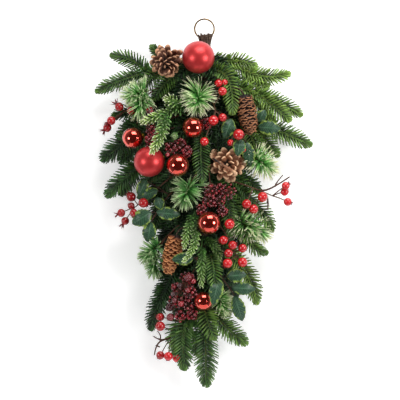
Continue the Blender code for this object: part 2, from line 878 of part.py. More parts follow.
def twig_rings(line, style, bare):
    """Ring centres and radii along a twig, which stretches carry a whorl, and each ring's share of it."""
    lengths = lengths_along(line)
    whole = lengths[-1]
    first, last = whole * bare, whole - style["band"] * 0.5
    count = max(2, round((last - first) / style["whorl"]))
    distances, is_band = [0.0], []
    plain = max(1, round(first / BARE_STRETCH))
    for i in range(plain):
        distances.append(first * (i + 1) / plain)
        is_band.append(False)
    step = (last - first) / count
    for i in range(count):
        start = first + step * i
        distances += [start + style["band"], start + step]
        is_band += [True, False]
    at_root, at_tip = style["thick"]
    shares = [distance / whole for distance in distances]
    rings = []
    for distance, share in zip(distances, shares):
        centre = point_at(line, lengths, min(distance, whole))
        rings.append((centre, at_root + (at_tip - at_root) * share))
    return rings, is_band, shares


def grow_core(spray, index, style):
    """A twig's bare stalk, with the bands that will carry needles."""
    bare = style["bare"] if index == 0 else FORK_BARE
    line, out = twig_line(spray, index)
    rings, is_band, shares = twig_rings(line, style, bare)
    bm = bmesh.new()
    stretches, frames, end = grow_tube(bm, rings, style["sides"], first=out)
    bands = []
    for i, faces in enumerate(stretches):
        if is_band[i]:
            middle = rings[i][0].lerp(rings[i + 1][0], 0.5)
            bands.append((faces, middle, frames[i], max(0.0, (shares[i] - bare) / (1 - bare))))
    return {"bm": bm, "bands": bands, "end": end, "heading": frames[-1].col[2].copy(), "style": style}


def needle_ways(core, face, centre, axes, share, number):
    """Where a needle's tip may lie, best first: as it would grow, then bent aside or shorter."""
    side, front, along = axes.col[0], axes.col[1], axes.col[2]
    middle = face.calc_center_median()
    offset = middle - centre
    around = math.atan2(offset.dot(front), offset.dot(side))
    swing = math.radians(NEEDLE_SWINGS[number % 2])
    around -= swing * math.copysign(1, math.sin(2 * around))
    style = core["style"]
    steep, flat = style["rise"]
    rise = math.radians(steep + (flat - steep) * share**1.5)
    full = NEEDLE_AT_ROOT + NEEDLE_GROWS * min(share * 4, 1)
    length = style["needle"] * full * (1 - NEEDLE_FADES * share**3)
    length *= 1 - NEEDLE_UNEVEN * ((number * 7) % 4) / 3
    for bend, part in NEEDLE_WAYS:
        turned = around + math.radians(bend)
        out = side * math.cos(turned) + front * math.sin(turned)
        yield middle + (along * math.cos(rise) + out * math.sin(rise)) * length * part


def pyramid_is_clear(base, peak, own):
    """Whether a needle from a facet's corners to its peak keeps the clearance to every piece but its own."""
    middle = sum(base, Vector()) / len(base)
    wide = [corner + (corner - middle).normalized() * CLEARANCE for corner in base]
    far = peak + (peak - middle).normalized() * CLEARANCE
    side = (base[1] - base[0]).normalized() * CLEARANCE
    corners = wide + [far - side, far + side]
    count = len(base)
    faces = [(i, (i + 1) % count, count) for i in range(count)]
    faces += [(i, (i + 1) % count, count + 1) for i in range(count)]
    return is_clear(corners, faces, own)


def add_needles(key, core):
    """Draws a needle out of each facet of the bands, where there is room for one."""
    bm = core["bm"]
    for whorl, (faces, centre, axes, share) in enumerate(core["bands"]):
        for number, face in enumerate(faces):
            base = [vert.co.copy() for vert in face.verts]
            for peak in needle_ways(core, face, centre, axes, share, whorl + number):
                if pyramid_is_clear(base, peak, key):
                    bmesh.ops.poke(bm, faces=[face])["verts"][0].co = peak
                    break
    base = [vert.co.copy() for vert in core["end"].verts]
    peak = core["end"].calc_center_median() + core["heading"] * core["style"]["needle"] * BUD_LENGTH
    if pyramid_is_clear(base, peak, key):
        bmesh.ops.poke(bm, faces=[core["end"]])["verts"][0].co = peak
    trees[key] = solid_tree(bm)


# Leaves, berries and beads.


def stalk_core(row, via, end):
    """The stalk of a pick, square on the stem at its root, and the line it follows."""
    start, out = seat_on_stem(row, at(*via))
    via, end = at(*via), at(*end)
    handle = start + out * (via - start).length * STALK_LEAVES
    line = curve_points(start, handle, via, end, STALK_STEPS)
    rings = [(point, STALK_RADIUS * (1 - STALK_TAPER * i)) for i, point in enumerate(line)]
    bm = bmesh.new()
    grow_tube(bm, rings, WIRE_SIDES, first=out)
    return bm, line


def nearest_on(line, place):
    """The place nearest to another along a stalk's straight stretches."""
    spots = [a.lerp(b, share / 4) for a, b in zip(line, line[1:]) for share in range(5)]
    return min(spots, key=lambda spot: (spot - place).length)


def twiglet(start, via, end):
    """A thin side stalk, whose root is sunk in what it grows from."""
    line = curve_points(start, start.lerp(via, TWIGLET_LEAVES), via, end, TWIGLET_STEPS)
    bm = bmesh.new()
    grow_tube(bm, [(point, TWIGLET_RADIUS) for point in line], WIRE_SIDES)
    return bm


def make_leaf(root, base, tip, width, lift=0.0):
    """One arched blade with a waved edge on a flat leafstalk, split into triangles alike on both faces."""
    rows = len(LEAF_OUTLINE) - 1
    along = tip - base
    tip = tip + FRONT * lift
    side = along.cross(FRONT).normalized()
    face = side.cross(along).normalized()
    bm = bmesh.new()
    bmesh.ops.create_grid(bm, x_segments=2, y_segments=rows, size=0.5)
    for vert in bm.verts:
        across, step = vert.co.x * 2, round((vert.co.y + 0.5) * rows)
        share = (step - 1) / (rows - 1)
        half = LEAF_OUTLINE[step] * width
        if step == 0:
            vert.co = root + side * across * half
            continue
        wave = LEAF_WAVE * width * (1 if step % 2 else -1) * abs(across) if step > 1 else 0
        arch = LEAF_ARCH * along.length * math.sin(math.pi * share) - LEAF_FOLD * abs(across) * half + wave
        vert.co = base.lerp(tip, share) + side * across * half + face * arch
    bmesh.ops.triangulate(bm, faces=bm.faces)
    bmesh.ops.solidify(bm, geom=bm.faces, thickness=BLADE_THICKNESS)
    bmesh.ops.recalc_face_normals(bm, faces=bm.faces)
    return bm


def shape_is_clear(bm, own):
    """Whether a shape keeps the clearance to every piece but its own."""
    bm.verts.index_update()
    corners = [vert.co + vert.normal * CLEARANCE for vert in bm.verts]
    faces = [[vert.index for vert in face.verts] for face in bm.faces]
    return is_clear(corners, faces, own)


def leafy_shapes(name):
    """A stem with its leaves. A leaf bends to the front, or is left out, where a neighbour is in the way."""
    row, via, end, leaves = LEAFY_STEMS[name]
    core, line = stalk_core(row, via, end)
    shapes = [core]
    for base, tip, width in leaves:
        base, tip = at(*base), at(*tip)
        root = nearest_on(line[1:], base - (tip - base).normalized() * LEAFSTALK)
        for lift in LEAF_LIFTS:
            blade = make_leaf(root, base, tip, width * CELL, lift)
            if shape_is_clear(blade, name):
                shapes.append(blade)
                break
            blade.free()
    return shapes


def make_berry(start, centre, radius):
    """A berry on its thin stalk: one turned shape that swells from stalk to ball, with a small point."""
    along = (centre - start).normalized()
    rings = [(start, TWIGLET_RADIUS), (centre - along * radius * BERRY_ROOT, TWIGLET_RADIUS)]
    rings += ball_rings(centre, -along, radius, BERRY_RINGS)
    bm = bmesh.new()
    _, _, end = grow_tube(bm, rings, BERRY_SIDES)
    bmesh.ops.poke(bm, faces=[end])["verts"][0].co = centre + along * radius * BERRY_POINT
    return bm


def berry_shapes(name):
    """A stem with its berries and bare twigs. A berry moves to the front where a neighbour is in the way."""
    row, via, end, berries, twigs = BERRY_SPRAYS[name]
    core, line = stalk_core(row, via, end)
    shapes = [core]
    for place, size in berries:
        centre = at(*place)
        root = nearest_on(line[2:], centre)
        for lift in BERRY_LIFTS:
            berry = make_berry(root, centre + FRONT * lift, size * CELL)
            if shape_is_clear(berry, name):
                shapes.append(berry)
                break
            berry.free()
    for start, past, tip in twigs:
        root = nearest_on(line, at(*start))
        shapes.append(twiglet(root, at(*past), at(*tip)))
    return shapes


def beaded_lump(centre, size):
    """A twelve-sided lump, each face of which is drawn out into a rounded bead."""
    seed = bmesh.new()
    bmesh.ops.create_icosphere(seed, subdivisions=1, radius=size)
    bm = bmesh.new()
    for face in seed.faces:
        bm.verts.new(face.calc_center_median() + centre)
    seed.free()
    bmesh.ops.convex_hull(bm, input=bm.verts)
    bmesh.ops.dissolve_limit(bm, angle_limit=math.radians(2), verts=bm.verts, edges=bm.edges)
    for face in bmesh.ops.extrude_discrete_faces(bm, faces=list(bm.faces))["faces"]:
        middle = face.calc_center_median()
        out = (middle - centre).normalized() * size
        shoulder = Matrix.Translation(middle + out * BEAD_SHOULDER) @ Matrix.Scale(BEAD_SHOULDER_WIDTH, 4)
        bmesh.ops.transform(bm, matrix=shoulder @ Matrix.Translation(-middle), verts=face.verts)
        bmesh.ops.poke(bm, faces=[face])["verts"][0].co = middle + out * BEAD_PEAK
    return bm


def bead_shapes(name):
    """A stalk with its beaded lumps."""
    row, via, lumps = BEAD_CLUSTERS[name]
    core, line = stalk_core(row, via, lumps[0][0])
    shapes = [core]
    for place, size in lumps:
        centre = at(*place)
        if place != lumps[0][0]:
            root = nearest_on(line[2:5], centre)
            shapes.append(twiglet(root, root.lerp(centre, LUMP_STALK_LEAVES), centre))
        shapes.append(beaded_lump(centre, size * CELL))
    return shapes


def remember(name, shapes):
    """Keeps the outline of a node that is made of several shapes, for its neighbours to stay clear of."""
    corners, faces = [], []
    for bm in shapes:
        bm.verts.index_update()
        first = len(corners)
        corners += [vert.co.copy() for vert in bm.verts]
        faces += [[vert.index + first for vert in face.verts] for face in bm.faces]
    trees[name] = BVHTree.FromPolygons(corners, faces)


def main():
    clear_scene()
    make_stem()
    make_ring()
    make_binding()
    for name in BAUBLES:
        make_bauble(name)
    for name in CONES:
        make_cone(name)
    sprays = (
        (SPRUCE_BOUGHS, SPRUCE, "spruce_green"),
        (FLOCKED_SPRIGS, FLOCKED, "flocked_green"),
        (FROSTED_PINES, PINE, "frosted_green"),
    )
    cores = {}
    for table, style, finish in sprays:
        for name, spray in table.items():
            for i in range(len(spray[1])):
                cores[name, i] = grow_core(spray, i, style)
                trees[name, i] = solid_tree(cores[name, i]["bm"])
    for name in LEAFY_STEMS:
        remember(name, [stalk_core(*LEAFY_STEMS[name][:3])[0]])
    for name in BERRY_SPRAYS:
        remember(name, [stalk_core(*BERRY_SPRAYS[name][:3])[0]])
    for name, (row, via, lumps) in BEAD_CLUSTERS.items():
        remember(name, [stalk_core(row, via, lumps[0][0])[0]])
    for table, build, finish in (
        (BERRY_SPRAYS, berry_shapes, "berry_red"),
        (LEAFY_STEMS, leafy_shapes, "leaf_green"),
        (BEAD_CLUSTERS, bead_shapes, "bead_burgundy"),
    ):
        for name in table:
            shapes = build(name)
            remember(name, shapes)
            fuse(name, shapes, finish)
    for table, style, finish in sprays:
        for name, spray in table.items():
            keys = [(name, i) for i in range(len(spray[1]))]
            for key in keys:
                add_needles(key, cores[key])
            fuse(name, [cores[key]["bm"] for key in keys], finish)


main()
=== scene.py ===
# %% [markdown]
# # A christmas door swag
# A door swag is a teardrop of artificial greenery that a florist wires onto one stem and hangs by a
# ring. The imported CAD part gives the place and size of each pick. This script loads it as a fixed frame
# and dresses each pick: every needle, leaf, berry and cone scale is a small shape of its own, because a
# swag's look comes from thousands of them.

# %% Load the frame
import math
import random

import bmesh
import bpy
from mathutils import Matrix, Vector


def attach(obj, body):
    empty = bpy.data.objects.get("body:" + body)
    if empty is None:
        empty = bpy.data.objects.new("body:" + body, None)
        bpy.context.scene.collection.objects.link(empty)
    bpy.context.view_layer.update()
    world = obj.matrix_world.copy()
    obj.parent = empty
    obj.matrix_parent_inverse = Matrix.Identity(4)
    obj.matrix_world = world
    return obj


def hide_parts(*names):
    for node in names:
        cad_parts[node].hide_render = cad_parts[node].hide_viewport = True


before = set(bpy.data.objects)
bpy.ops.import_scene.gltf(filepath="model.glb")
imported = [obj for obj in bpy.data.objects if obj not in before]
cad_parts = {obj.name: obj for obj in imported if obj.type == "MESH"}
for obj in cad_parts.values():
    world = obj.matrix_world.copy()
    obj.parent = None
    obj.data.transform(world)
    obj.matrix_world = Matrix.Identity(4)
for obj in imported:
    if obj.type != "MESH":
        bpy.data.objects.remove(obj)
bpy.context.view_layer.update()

# %% [markdown]
# ## The layout
# A florist places picks by eye. Here each place is a column, a row and a depth on one grid, so that a
# pick and its solid in the part are placed in the same way. The origin is where the ring bears on its
# hook.

# %% The grid
SWAG_HEIGHT = 0.684
LAYOUT_ROWS = 366
CELL = SWAG_HEIGHT / LAYOUT_ROWS
FRONT = Vector((0, -1, 0))
UP = Vector((0, 0, 1))
GOLDEN_ANGLE = math.radians(137.5)


def at(column, row, depth):
    """A place on the grid: columns right of the ring, rows down from the hook, depth to the front."""
    return Vector((column * CELL, -depth * CELL, -row * CELL))


print("One cell in mm:", round(CELL * 1000, 3))

# %% [markdown]
# The stem, the baubles and the cones come first, since the greenery has to grow out of the one and stay
# out of the others.

# %% Stem, baubles and cones
STEM_LINE = (
    (1.0, 18, 7.5, 0.0085),
    (0.5, 40, 8.0, 0.0085),
    (0.0, 75, 9.0, 0.0100),
    (0.0, 115, 10.5, 0.0110),
    (0.0, 160, 11.5, 0.0110),
    (0.0, 205, 11.5, 0.0100),
    (-0.5, 250, 10.0, 0.0080),
    (0.0, 303, 8.0, 0.0050),
)

# Centre, radius, and the row where the pick wire leaves the stem.
BAUBLES = {
    "matte_bauble_top": ((-6, 38, 32), 0.0302, 44),
    "matte_bauble_left": ((-55, 142, 37), 0.0284, 128),
    "shiny_bauble_left": ((-71.5, 118.5, 27), 0.0196, 104),
    "shiny_bauble_upper": ((-11.5, 108, 38), 0.0196, 98),
    "shiny_bauble_middle": ((-26.5, 145.5, 41), 0.0212, 136),
    "shiny_bauble_lower": ((4.5, 203, 38), 0.0216, 196),
    "shiny_bauble_bottom": ((-1, 281, 30), 0.0176, 272),
}

# Stalk end, tip end, widest radius without scales, how far the scales stand out, and the wire's row.
CONES = {
    "open_cone_top": ((-37, 40, 20), (-39.5, 48, 40), 0.0160, 0.0130, 42),
    "open_cone_middle": ((22, 145, 20), (22.5, 145, 38), 0.0150, 0.0140, 131),
    "long_cone_right": ((39, 75, 24), (46, 112, 24), 0.0140, 0.0040, 72),
    "long_cone_left": ((-28, 215, 28), (-36, 251, 28), 0.0140, 0.0040, 206),
}
print("Baubles and cones:", len(BAUBLES), "and", len(CONES))

# %% [markdown]
# Each needled pick is a table row: where it leaves the stem, how green it is from dark blue-green (0)
# to young yellow-green (1), and its twigs. That green is partly the pick's own and partly painted light
# and shade: the picks on the lit right are lighter, those on the shaded left darker. A twig has the share
# of the first one's length where it forks off (None for the first), a point that it comes from, and its tip.

# %% Needled picks
SPRUCE_BOUGHS = {
    "spruce_bough_left_top": (53, 0.5, (
        (None, (-52, 43, 9), (-106, 71, 8)),
        (0.46, (-66, 38, 11), (-91, 36, 10)),
        (0.28, (-42, 34, 9), (-52, 28, 9)),
        (0.10, (-37, 55, 19), (-49, 78, 18)),
        (0.35, (-52, 56, 13), (-64, 71, 12)),
    )),
    "spruce_bough_left_berry": (80, 0.25, (
        (None, (-55, 84, 8), (-90, 96, 8)),
        (0.40, (-62, 97, 9), (-78, 106, 8)),
    )),
    "spruce_bough_left_upper": (95, 0.18, (
        (None, (-60, 106, 10), (-100, 138, 8)),
        (0.35, (-62, 117, 8), (-82, 140, 7)),
        (0.20, (-62, 97, 9), (-84, 117, 8)),
    )),
    "spruce_bough_left_lower": (118, 0.28, (
        (None, (-58, 136, 10), (-96, 174, 9)),
        (0.62, (-78, 160, 8), (-82, 172, 7)),
    )),
    "spruce_bough_left_inner": (134, 0.2, (
        (None, (-34, 150, 15), (-46, 178, 15)),
        (0.35, (-52, 150, 12), (-62, 165, 10)),
        (0.60, (-44, 182, 10), (-51, 206, 9)),
    )),
    "spruce_bough_left_base": (224, 0.15, (
        (None, (-33, 262, 10), (-47, 288, 9)),
        (0.50, (-50, 290, 8), (-53, 307, 8)),
    )),
    "spruce_bough_right_top": (38, 0.85, (
        (None, (50, 66, 9), (83, 54, 9)),
        (0.16, (36, 38, 12), (50, 46, 12)),
        (0.42, (50, 66, 6), (62, 66, 6)),
    )),
    "spruce_bough_right_drop": (50, 0.7, ((None, (29, 50, 30), (28, 92, 28)),)),
    "spruce_bough_right_wide": (62, 0.75, (
        (None, (54, 72, 10), (95, 94, 10)),
        (0.48, (64, 84, 17), (84, 99, 16)),
        (0.25, (50, 80, 12), (68, 100, 11)),
    )),
    "spruce_bough_right_upper": (92, 0.65, (
        (None, (62, 106, 9), (104, 124, 9)),
        (0.40, (56, 120, 9), (72, 134, 9)),
        (0.30, (46, 118, 12), (56, 140, 12)),
    )),
    "spruce_bough_right_inner": (150, 0.35, (
        (None, (36, 156, 15), (43, 178, 17)),
        (0.30, (46, 157, 12), (54, 171, 12)),
    )),
    "spruce_bough_right_lower": (165, 0.55, (
        (None, (54, 176, 17), (67, 209, 19)),
        (None, (33, 229, 20), (60.5, 232, 21)),
    )),
    "spruce_bough_right_base": (226, 0.8, ((None, (44, 246, 9), (52, 281, 9)),)),
    "spruce_bough_bottom_right": (286, 0.6, (
        (None, (8, 298, 24), (40, 322, 13)),
        (None, (0, 294, 28), (9, 316, 26)),
    )),
    "spruce_bough_bottom": (298, 0.45, (
        (None, (1, 326, 20), (2, 363, 11)),
        (None, (-25, 290, 22), (-20, 346, 15)),
        (0.10, (-9, 312, 12), (-9, 331, 9)),
        (None, (-31, 290, 19), (-27, 334, 14)),
    )),
    "spruce_bough_centre": (112, 0.4, ((None, (-5, 126, 34), (-2, 160, 36)),)),
    "spruce_bough_centre_low": (160, 0.45, ((None, (25, 174, 28), (26, 213, 25)),)),
    "spruce_bough_centre_base": (230, 0.5, ((None, (10, 240, 34), (10, 266, 38)),)),
}

FROSTED_PINES = {
    "frosted_pine_top": (66, 0.95, ((None, (-6, 76, 26), (-7, 84, 34)),)),
    "frosted_pine_left_top": (62, 0.75, (
        (None, (-56, 72, 17), (-73, 75, 22)),
        (0.50, (-62, 74, 20), (-66, 90, 21)),
    )),
    "frosted_pine_right_top": (120, 1.25, ((None, (44, 132, 15), (62, 147, 21)),)),
    "frosted_pine_middle": (152, 0.5, ((None, (-14, 164, 27), (-20, 178, 33)),)),
    "frosted_pine_left_low": (196, 0.45, (
        (None, (-38, 220, 17), (-57, 235, 20)),
        (0.62, (-48, 238, 16), (-50, 249, 17)),
    )),
    "frosted_pine_right_low": (182, 1.15, (
        (None, (30, 196, 19), (45, 211, 18)),
        (0.5, (44, 199, 15), (56, 212, 14)),
    )),
    "frosted_pine_base": (256, 0.85, ((None, (12, 274, 17), (19, 289, 19)),)),
}

FLOCKED_SPRIGS = {
    "flocked_sprig_top": (84, 0.85, (
        (None, (-34, 92, 34), (-60, 102, 37)),
        (0.55, (-38, 108, 50), (-51, 131, 54)),
        (0.35, (-28, 82, 33), (-37, 80, 36)),
    )),
    "flocked_sprig_left": (188, 0.65, (
        (None, (-15, 198, 32), (-20, 227, 41)),
        (0.15, (0, 220, 40), (-20, 240, 52)),
    )),
    "flocked_sprig_long": (216, 0.5, (
        (None, (-4, 226, 34), (-3, 264, 34)),
        (0.10, (12, 220, 28), (15, 238, 30)),
    )),
}
# A small bud that points to the front: its row on the stem, the point that it comes from and its end.
FLOCKED_BUD = (104, (-31, 115, 12), (-30, 117, 42))
print("Boughs, tufts and sprigs:", len(SPRUCE_BOUGHS), len(FROSTED_PINES), len(FLOCKED_SPRIGS))

# %% [markdown]
# Leafy stems and berry sprays have a stalk too: the row where it leaves the stem, the point that it
# comes from and its end. Then come the leaves (base, tip, width in cells), or the berries (place,
# radius in cells) with the bare twigs (from, past and to a place). A bead cluster's stalk ends in the
# first of its lumps (centre, half size in cells).

# %% Leaves, berries and beads
LEAFY_STEMS = {
    "leafy_stem_top": (90, (22, 92, 26), (37, 117, 34), (
        ((27, 99, 32), (20, 119, 36), 14),
        ((36, 119, 36), (33, 136, 43), 13),
        ((42, 122, 29), (46, 147, 28), 13),
    )),
    "leafy_stem_right": (84, (40, 92, 14), (54, 105, 17), (
        ((53, 107, 18), (76, 109, 19), 15),
        ((53, 102, 18), (61, 90, 19), 11),
    )),
    "leafy_stem_left": (158, (-34, 168, 24), (-52, 200, 26), (
        ((-46, 170, 23), (-68, 178, 20), 12),
        ((-58, 160, 22), (-66, 176, 24), 12),
        ((-47, 177, 27), (-43, 189, 30), 11),
        ((-48, 192, 28), (-24, 195, 30), 13),
        ((-53, 192, 28), (-72, 204, 26), 17),
        ((-53, 202, 26), (-57, 222, 23), 14),
    )),
    "leafy_stem_middle": (222, (-4, 232, 20), (-8, 240, 38), (((-11, 238, 36), (-32, 239, 45), 13),)),
    "leafy_stem_base": (240, (13, 252, 30), (30, 275, 25), (
        ((22, 256, 30), (42, 254, 30), 14),
        ((27, 267, 28), (51, 269, 26), 13),
        ((15, 258, 34), (8, 284, 43), 14),
        ((30, 275, 26), (38, 301, 22), 14),
    )),
}

BERRY_SPRAYS = {
    "berry_spray_right": (158, (40, 164, 22), (68, 176, 24), (
        ((81, 166, 26), 4.1), ((80, 172, 22), 4.1), ((83, 182, 26), 4.1), ((58, 177, 30), 5.0),
        ((42, 184, 32), 4.6), ((49, 189, 28), 4.6),
    ), (
        ((54, 170, 24), (64, 171, 26), (85, 157, 26)), ((62, 175, 26), (64, 182, 24), (63, 190, 22)),
    )),
    "berry_spray_low": (198, (18, 204, 30), (32, 236, 30), (
        ((25, 204, 39), 5.0), ((19, 220, 37), 4.3), ((28, 225, 38), 4.3), ((38, 228, 34), 4.3),
        ((24, 233, 38), 4.3), ((23, 243, 38), 4.8), ((38, 242, 34), 4.8),
    ), ()),
    "berry_spray_upper": (78, (10, 84, 30), (11, 92, 36), (
        ((9, 101, 42), 5.0), ((18, 98, 40), 4.1), ((18, 72, 38), 4.3), ((14, 64, 31), 3.8),
        ((20, 63, 29), 3.2), ((0, 122, 44), 4.2),
    ), ()),
    "berry_spray_hip": (104, (26, 106, 18), (30, 114, 30), (
        ((34, 115, 42), 5.4), ((26, 123, 36), 3.2), ((38.5, 130, 36), 2.8),
    ), ()),
    "berry_spray_left_top": (70, (-50, 76, 13), (-80, 92, 15), (
        ((-85, 87, 19), 4.5), ((-73, 91, 20), 4.2), ((-93, 101, 16), 4.5), ((-97, 108, 12), 4.4),
    ), ()),
    "berry_spray_left": (144, (-40, 164, 19), (-70, 188, 19), (
        ((-73, 177, 15), 4.9), ((-61, 183, 26), 4.9), ((-70.5, 193, 25), 4.2), ((-73, 186, 20), 3.6),
        ((-83, 193, 19), 4.2), ((-79, 201, 16), 4.1),
    ), ()),
    "berry_spray_bottom": (262, (-24, 290, 14), (-34, 318, 15), (
        ((-44, 297, 17), 4.1), ((-44, 306, 20), 4.9), ((-44, 335, 17), 4.3), ((-36, 336, 21), 4.5),
        ((-28, 338, 16), 4.0),
    ), (
        ((-33, 316, 15), (-42, 322, 14), (-51, 316, 15)),
        ((-34, 318, 15), (-48, 321, 12), (-50, 335, 13)),
    )),
}

BEAD_CLUSTERS = {
    "bead_cluster_left": (92, (-40, 100, 22), (
        ((-52.5, 111, 32), 4.9), ((-53, 121, 34), 5.2), ((-54, 92, 27), 2.6),
    )),
    "bead_cluster_upper": (102, (-14, 116, 26), (
        ((-24, 125, 36), 5.6), ((-33, 128, 36), 5.0), ((-17, 132, 35), 4.2), ((2, 104, 34), 4.2),
    )),
    "bead_cluster_middle": (142, (5, 158, 26), (
        ((6, 171, 33), 5.4), ((4, 181, 34), 5.6), ((24, 172, 33), 6.2), ((15, 169, 31), 4.6),
        ((15, 181, 31), 5.2), ((-3, 190, 33), 4.2), ((18, 191, 31), 4.4),
    )),
    "bead_cluster_base": (244, (-12, 256, 22), (
        ((-17, 258, 30), 5.6), ((-27, 268, 26), 5.4), ((-14, 272, 31), 5.2), ((-28, 281, 25), 5.8),
        ((-16, 285, 28), 5.8), ((-12, 294, 25), 4.6), ((-24, 295, 23), 5.0),
    )),
}
print("Leafy stems, sprays and clusters:", len(LEAFY_STEMS), len(BERRY_SPRAYS), len(BEAD_CLUSTERS))

# %% [markdown]
# ## Lines
# Every stalk, wire and twig of the swag is a wire that was bent by hand, so it follows a smooth line. A
# line could be a curve object, but the needles have to know where they stand on it. So it is a list of
# points on a curve that has a start, a tip and two handles, as in the editor.

# %% Points along a curve


def curve_points(start, handle, via, tip, count=36):
    """Points of one smooth curve that leaves start towards handle and reaches tip from the side of via."""
    points = []
    for i in range(count + 1):
        t = i / count
        s = 1 - t
        points.append(s**3 * start + 3 * s * s * t * handle + 3 * s * t * t * via + t**3 * tip)
    return points


def lengths_along(points):
    """How far along the line each point is."""
    found = [0.0]
    for a, b in zip(points, points[1:]):
        found.append(found[-1] + (b - a).length)
    return found


def place_on(points, lengths, distance):
    """The point this far along a line, and the way that the line heads there."""
    for i in range(len(points) - 1):
        if distance <= lengths[i + 1] or i == len(points) - 2:
            share = (distance - lengths[i]) / max(lengths[i + 1] - lengths[i], 1e-9)
            return points[i].lerp(points[i + 1], share), (points[i + 1] - points[i]).normalized()


def smooth_line(places, values, count):
    """Evenly spread samples of a smooth line through places, with a value for each."""
    samples = []
    for i in range(count + 1):
        u = i / count * (len(places) - 1)
        k = min(int(u), len(places) - 2)
        t = u - k
        before = places[max(k - 1, 0)]
        after = places[min(k + 2, len(places) - 1)]
        a, b = places[k], places[k + 1]
        bend = (
            2 * a
            + (b - before) * t
            + (2 * before - 5 * a + 4 * b - after) * t * t
            + (3 * a - before - 3 * b + after) * t**3
        ) / 2
        samples.append((bend, values[k] + (values[k + 1] - values[k]) * t))
    return samples


line = curve_points(at(0, 0, 0), at(0, 50, 10), at(30, 90, 20), at(40, 100, 20))
print("A line of", len(line), "points is", round(lengths_along(line)[-1] * 1000), "mm long")

# %% [markdown]
# ## Tubes
# A tube is made with an extrude for each stretch, as by hand: extrude the end face, turn it to the new
# heading and scale it. Each vertex also keeps its growth, a small vector that the finishes read later:
# its share of the way from root to tip, the tint of its pick, and a chance value.

# %% Tubes
# A heading that leaves less than this of the front direction turns its section to the top instead.
NEARLY_FRONT = 0.35


def section_axes(heading):
    """Axes of a section across heading: sideways, to the front, and along."""
    front = FRONT - heading * FRONT.dot(heading)
    if front.length < NEARLY_FRONT:
        front = UP - heading * UP.dot(heading)
    front.normalize()
    side = front.cross(heading)
    return Matrix((side, front, heading)).transposed()


def new_shape():
    """An empty mesh whose vertices can keep their growth."""
    bm = bmesh.new()
    bm.verts.layers.float_vector.new("growth")
    return bm


def extrude_end(bm, end):
    """Extrudes an end face and returns the new end face."""
    made = bmesh.ops.extrude_face_region(bm, geom=[end, *end.edges, *end.verts])["geom"]
    return next(item for item in made if isinstance(item, bmesh.types.BMFace))


def grow_tube(bm, points, radii, sides, tint=0.5, finish=0):
    """Draws a round section along points, closed at both ends, with a radius for each point."""
    growth = bm.verts.layers.float_vector["growth"]
    last = len(points) - 1
    headings = [(points[min(i + 1, last)] - points[max(i - 1, 0)]).normalized() for i in range(last + 1)]
    place = Matrix.Translation(points[0]) @ section_axes(headings[0]).to_4x4()
    made = bmesh.ops.create_circle(bm, cap_ends=True, segments=sides, radius=radii[0], matrix=place)
    end = made["verts"][0].link_faces[0]
    end.material_index = finish
    for vert in end.verts:
        vert[growth] = (0, tint, 0.5)
    for i in range(1, last + 1):
        swing = headings[i - 1].rotation_difference(headings[i]).to_matrix().to_4x4()
        grow = Matrix.Scale(radii[i] / radii[i - 1], 4)
        move = Matrix.Translation(points[i]) @ swing @ grow @ Matrix.Translation(-points[i - 1])
        end = extrude_end(bm, end)
        bmesh.ops.transform(bm, matrix=move, verts=end.verts)
        for vert in end.verts:
            vert[growth] = (i / last, tint, 0.5)
            for face in vert.link_faces:
                face.material_index = finish


tube = new_shape()
grow_tube(tube, line, [0.001] * len(line), 6)
print("A tube with 6 sides along that line has", len(tube.faces), "faces")
tube.free()

# %% [markdown]
# ## Copies
# Small shapes that repeat, such as needles, are made once, one unit long, and copied into a pick's
# mesh. A copy gets its place from a matrix, and its tint and chance value are written into its growth.

# %% Copies of a small shape


def keep_shape(name, bm, finish=0):
    """Keeps a small shape as a mesh, to be copied many times."""
    bmesh.ops.recalc_face_normals(bm, faces=bm.faces)
    for face in bm.faces:
        face.material_index = finish
    mesh = bpy.data.meshes.new(name)
    bm.to_mesh(mesh)
    bm.free()
    print(name, "has", len(mesh.polygons), "faces")
    return mesh


def place_copy(bm, shape, matrix, tint, chance):
    """Adds a copy of a small shape to a mesh."""
    growth = bm.verts.layers.float_vector["growth"]
    first = len(bm.verts)
    bm.from_mesh(shape, face_normals=False, vertex_normals=False)
    bm.verts.ensure_lookup_table()
    root_shade_to_tip = bm.verts[first:]
    bmesh.ops.transform(bm, matrix=matrix, verts=root_shade_to_tip)
    for vert in root_shade_to_tip:
        vert[growth] = (vert[growth].x, tint, chance)


def add_shape(bm, part):
    """Adds a built part to a larger mesh, and frees it."""
    mesh = bpy.data.meshes.new("part")
    part.to_mesh(mesh)
    part.free()
    bm.from_mesh(mesh)
    bpy.data.meshes.remove(mesh)


def aim(base, direction, towards, width, depth, length):
    """The matrix that aims a shape standing along Z from a base, with its Y side turned to a side."""
    along = direction.normalized()
    side = towards.cross(along)
    if side.length < 1e-4:
        side = along.orthogonal()
    side.normalize()
    up = along.cross(side)
    axes = Matrix((side * width, up * depth, along * length)).transposed()
    return Matrix.Translation(base) @ axes.to_4x4()


print("A unit shape aimed to the front ends at", tuple(aim(at(0, 0, 0), FRONT, UP, 1, 1, 1) @ UP))

# %% [markdown]
# ## Pieces
# A finished piece is an object at the origin with its place in its mesh, as the CAD nodes have. It
# rides on the swag's one body, and where it stands for a CAD node, that node is no longer shown.

# %% Finish a piece
piece_triangles = {}


def finish_piece(name, bm, finishes, node=None):
    """Turns a built mesh into a piece of the swag."""
    bmesh.ops.recalc_face_normals(bm, faces=bm.faces)
    mesh = bpy.data.meshes.new(name)
    bm.to_mesh(mesh)
    bm.free()
    for finish in finishes:
        mesh.materials.append(finish)
    mesh.shade_smooth()
    piece = bpy.data.objects.new(name, mesh)
    bpy.context.scene.collection.objects.link(piece)
    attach(piece, "root")
    if node:
        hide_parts(node)
    piece_triangles[name] = sum(len(face.vertices) - 2 for face in mesh.polygons)
    print(name, "has", piece_triangles[name], "triangles")


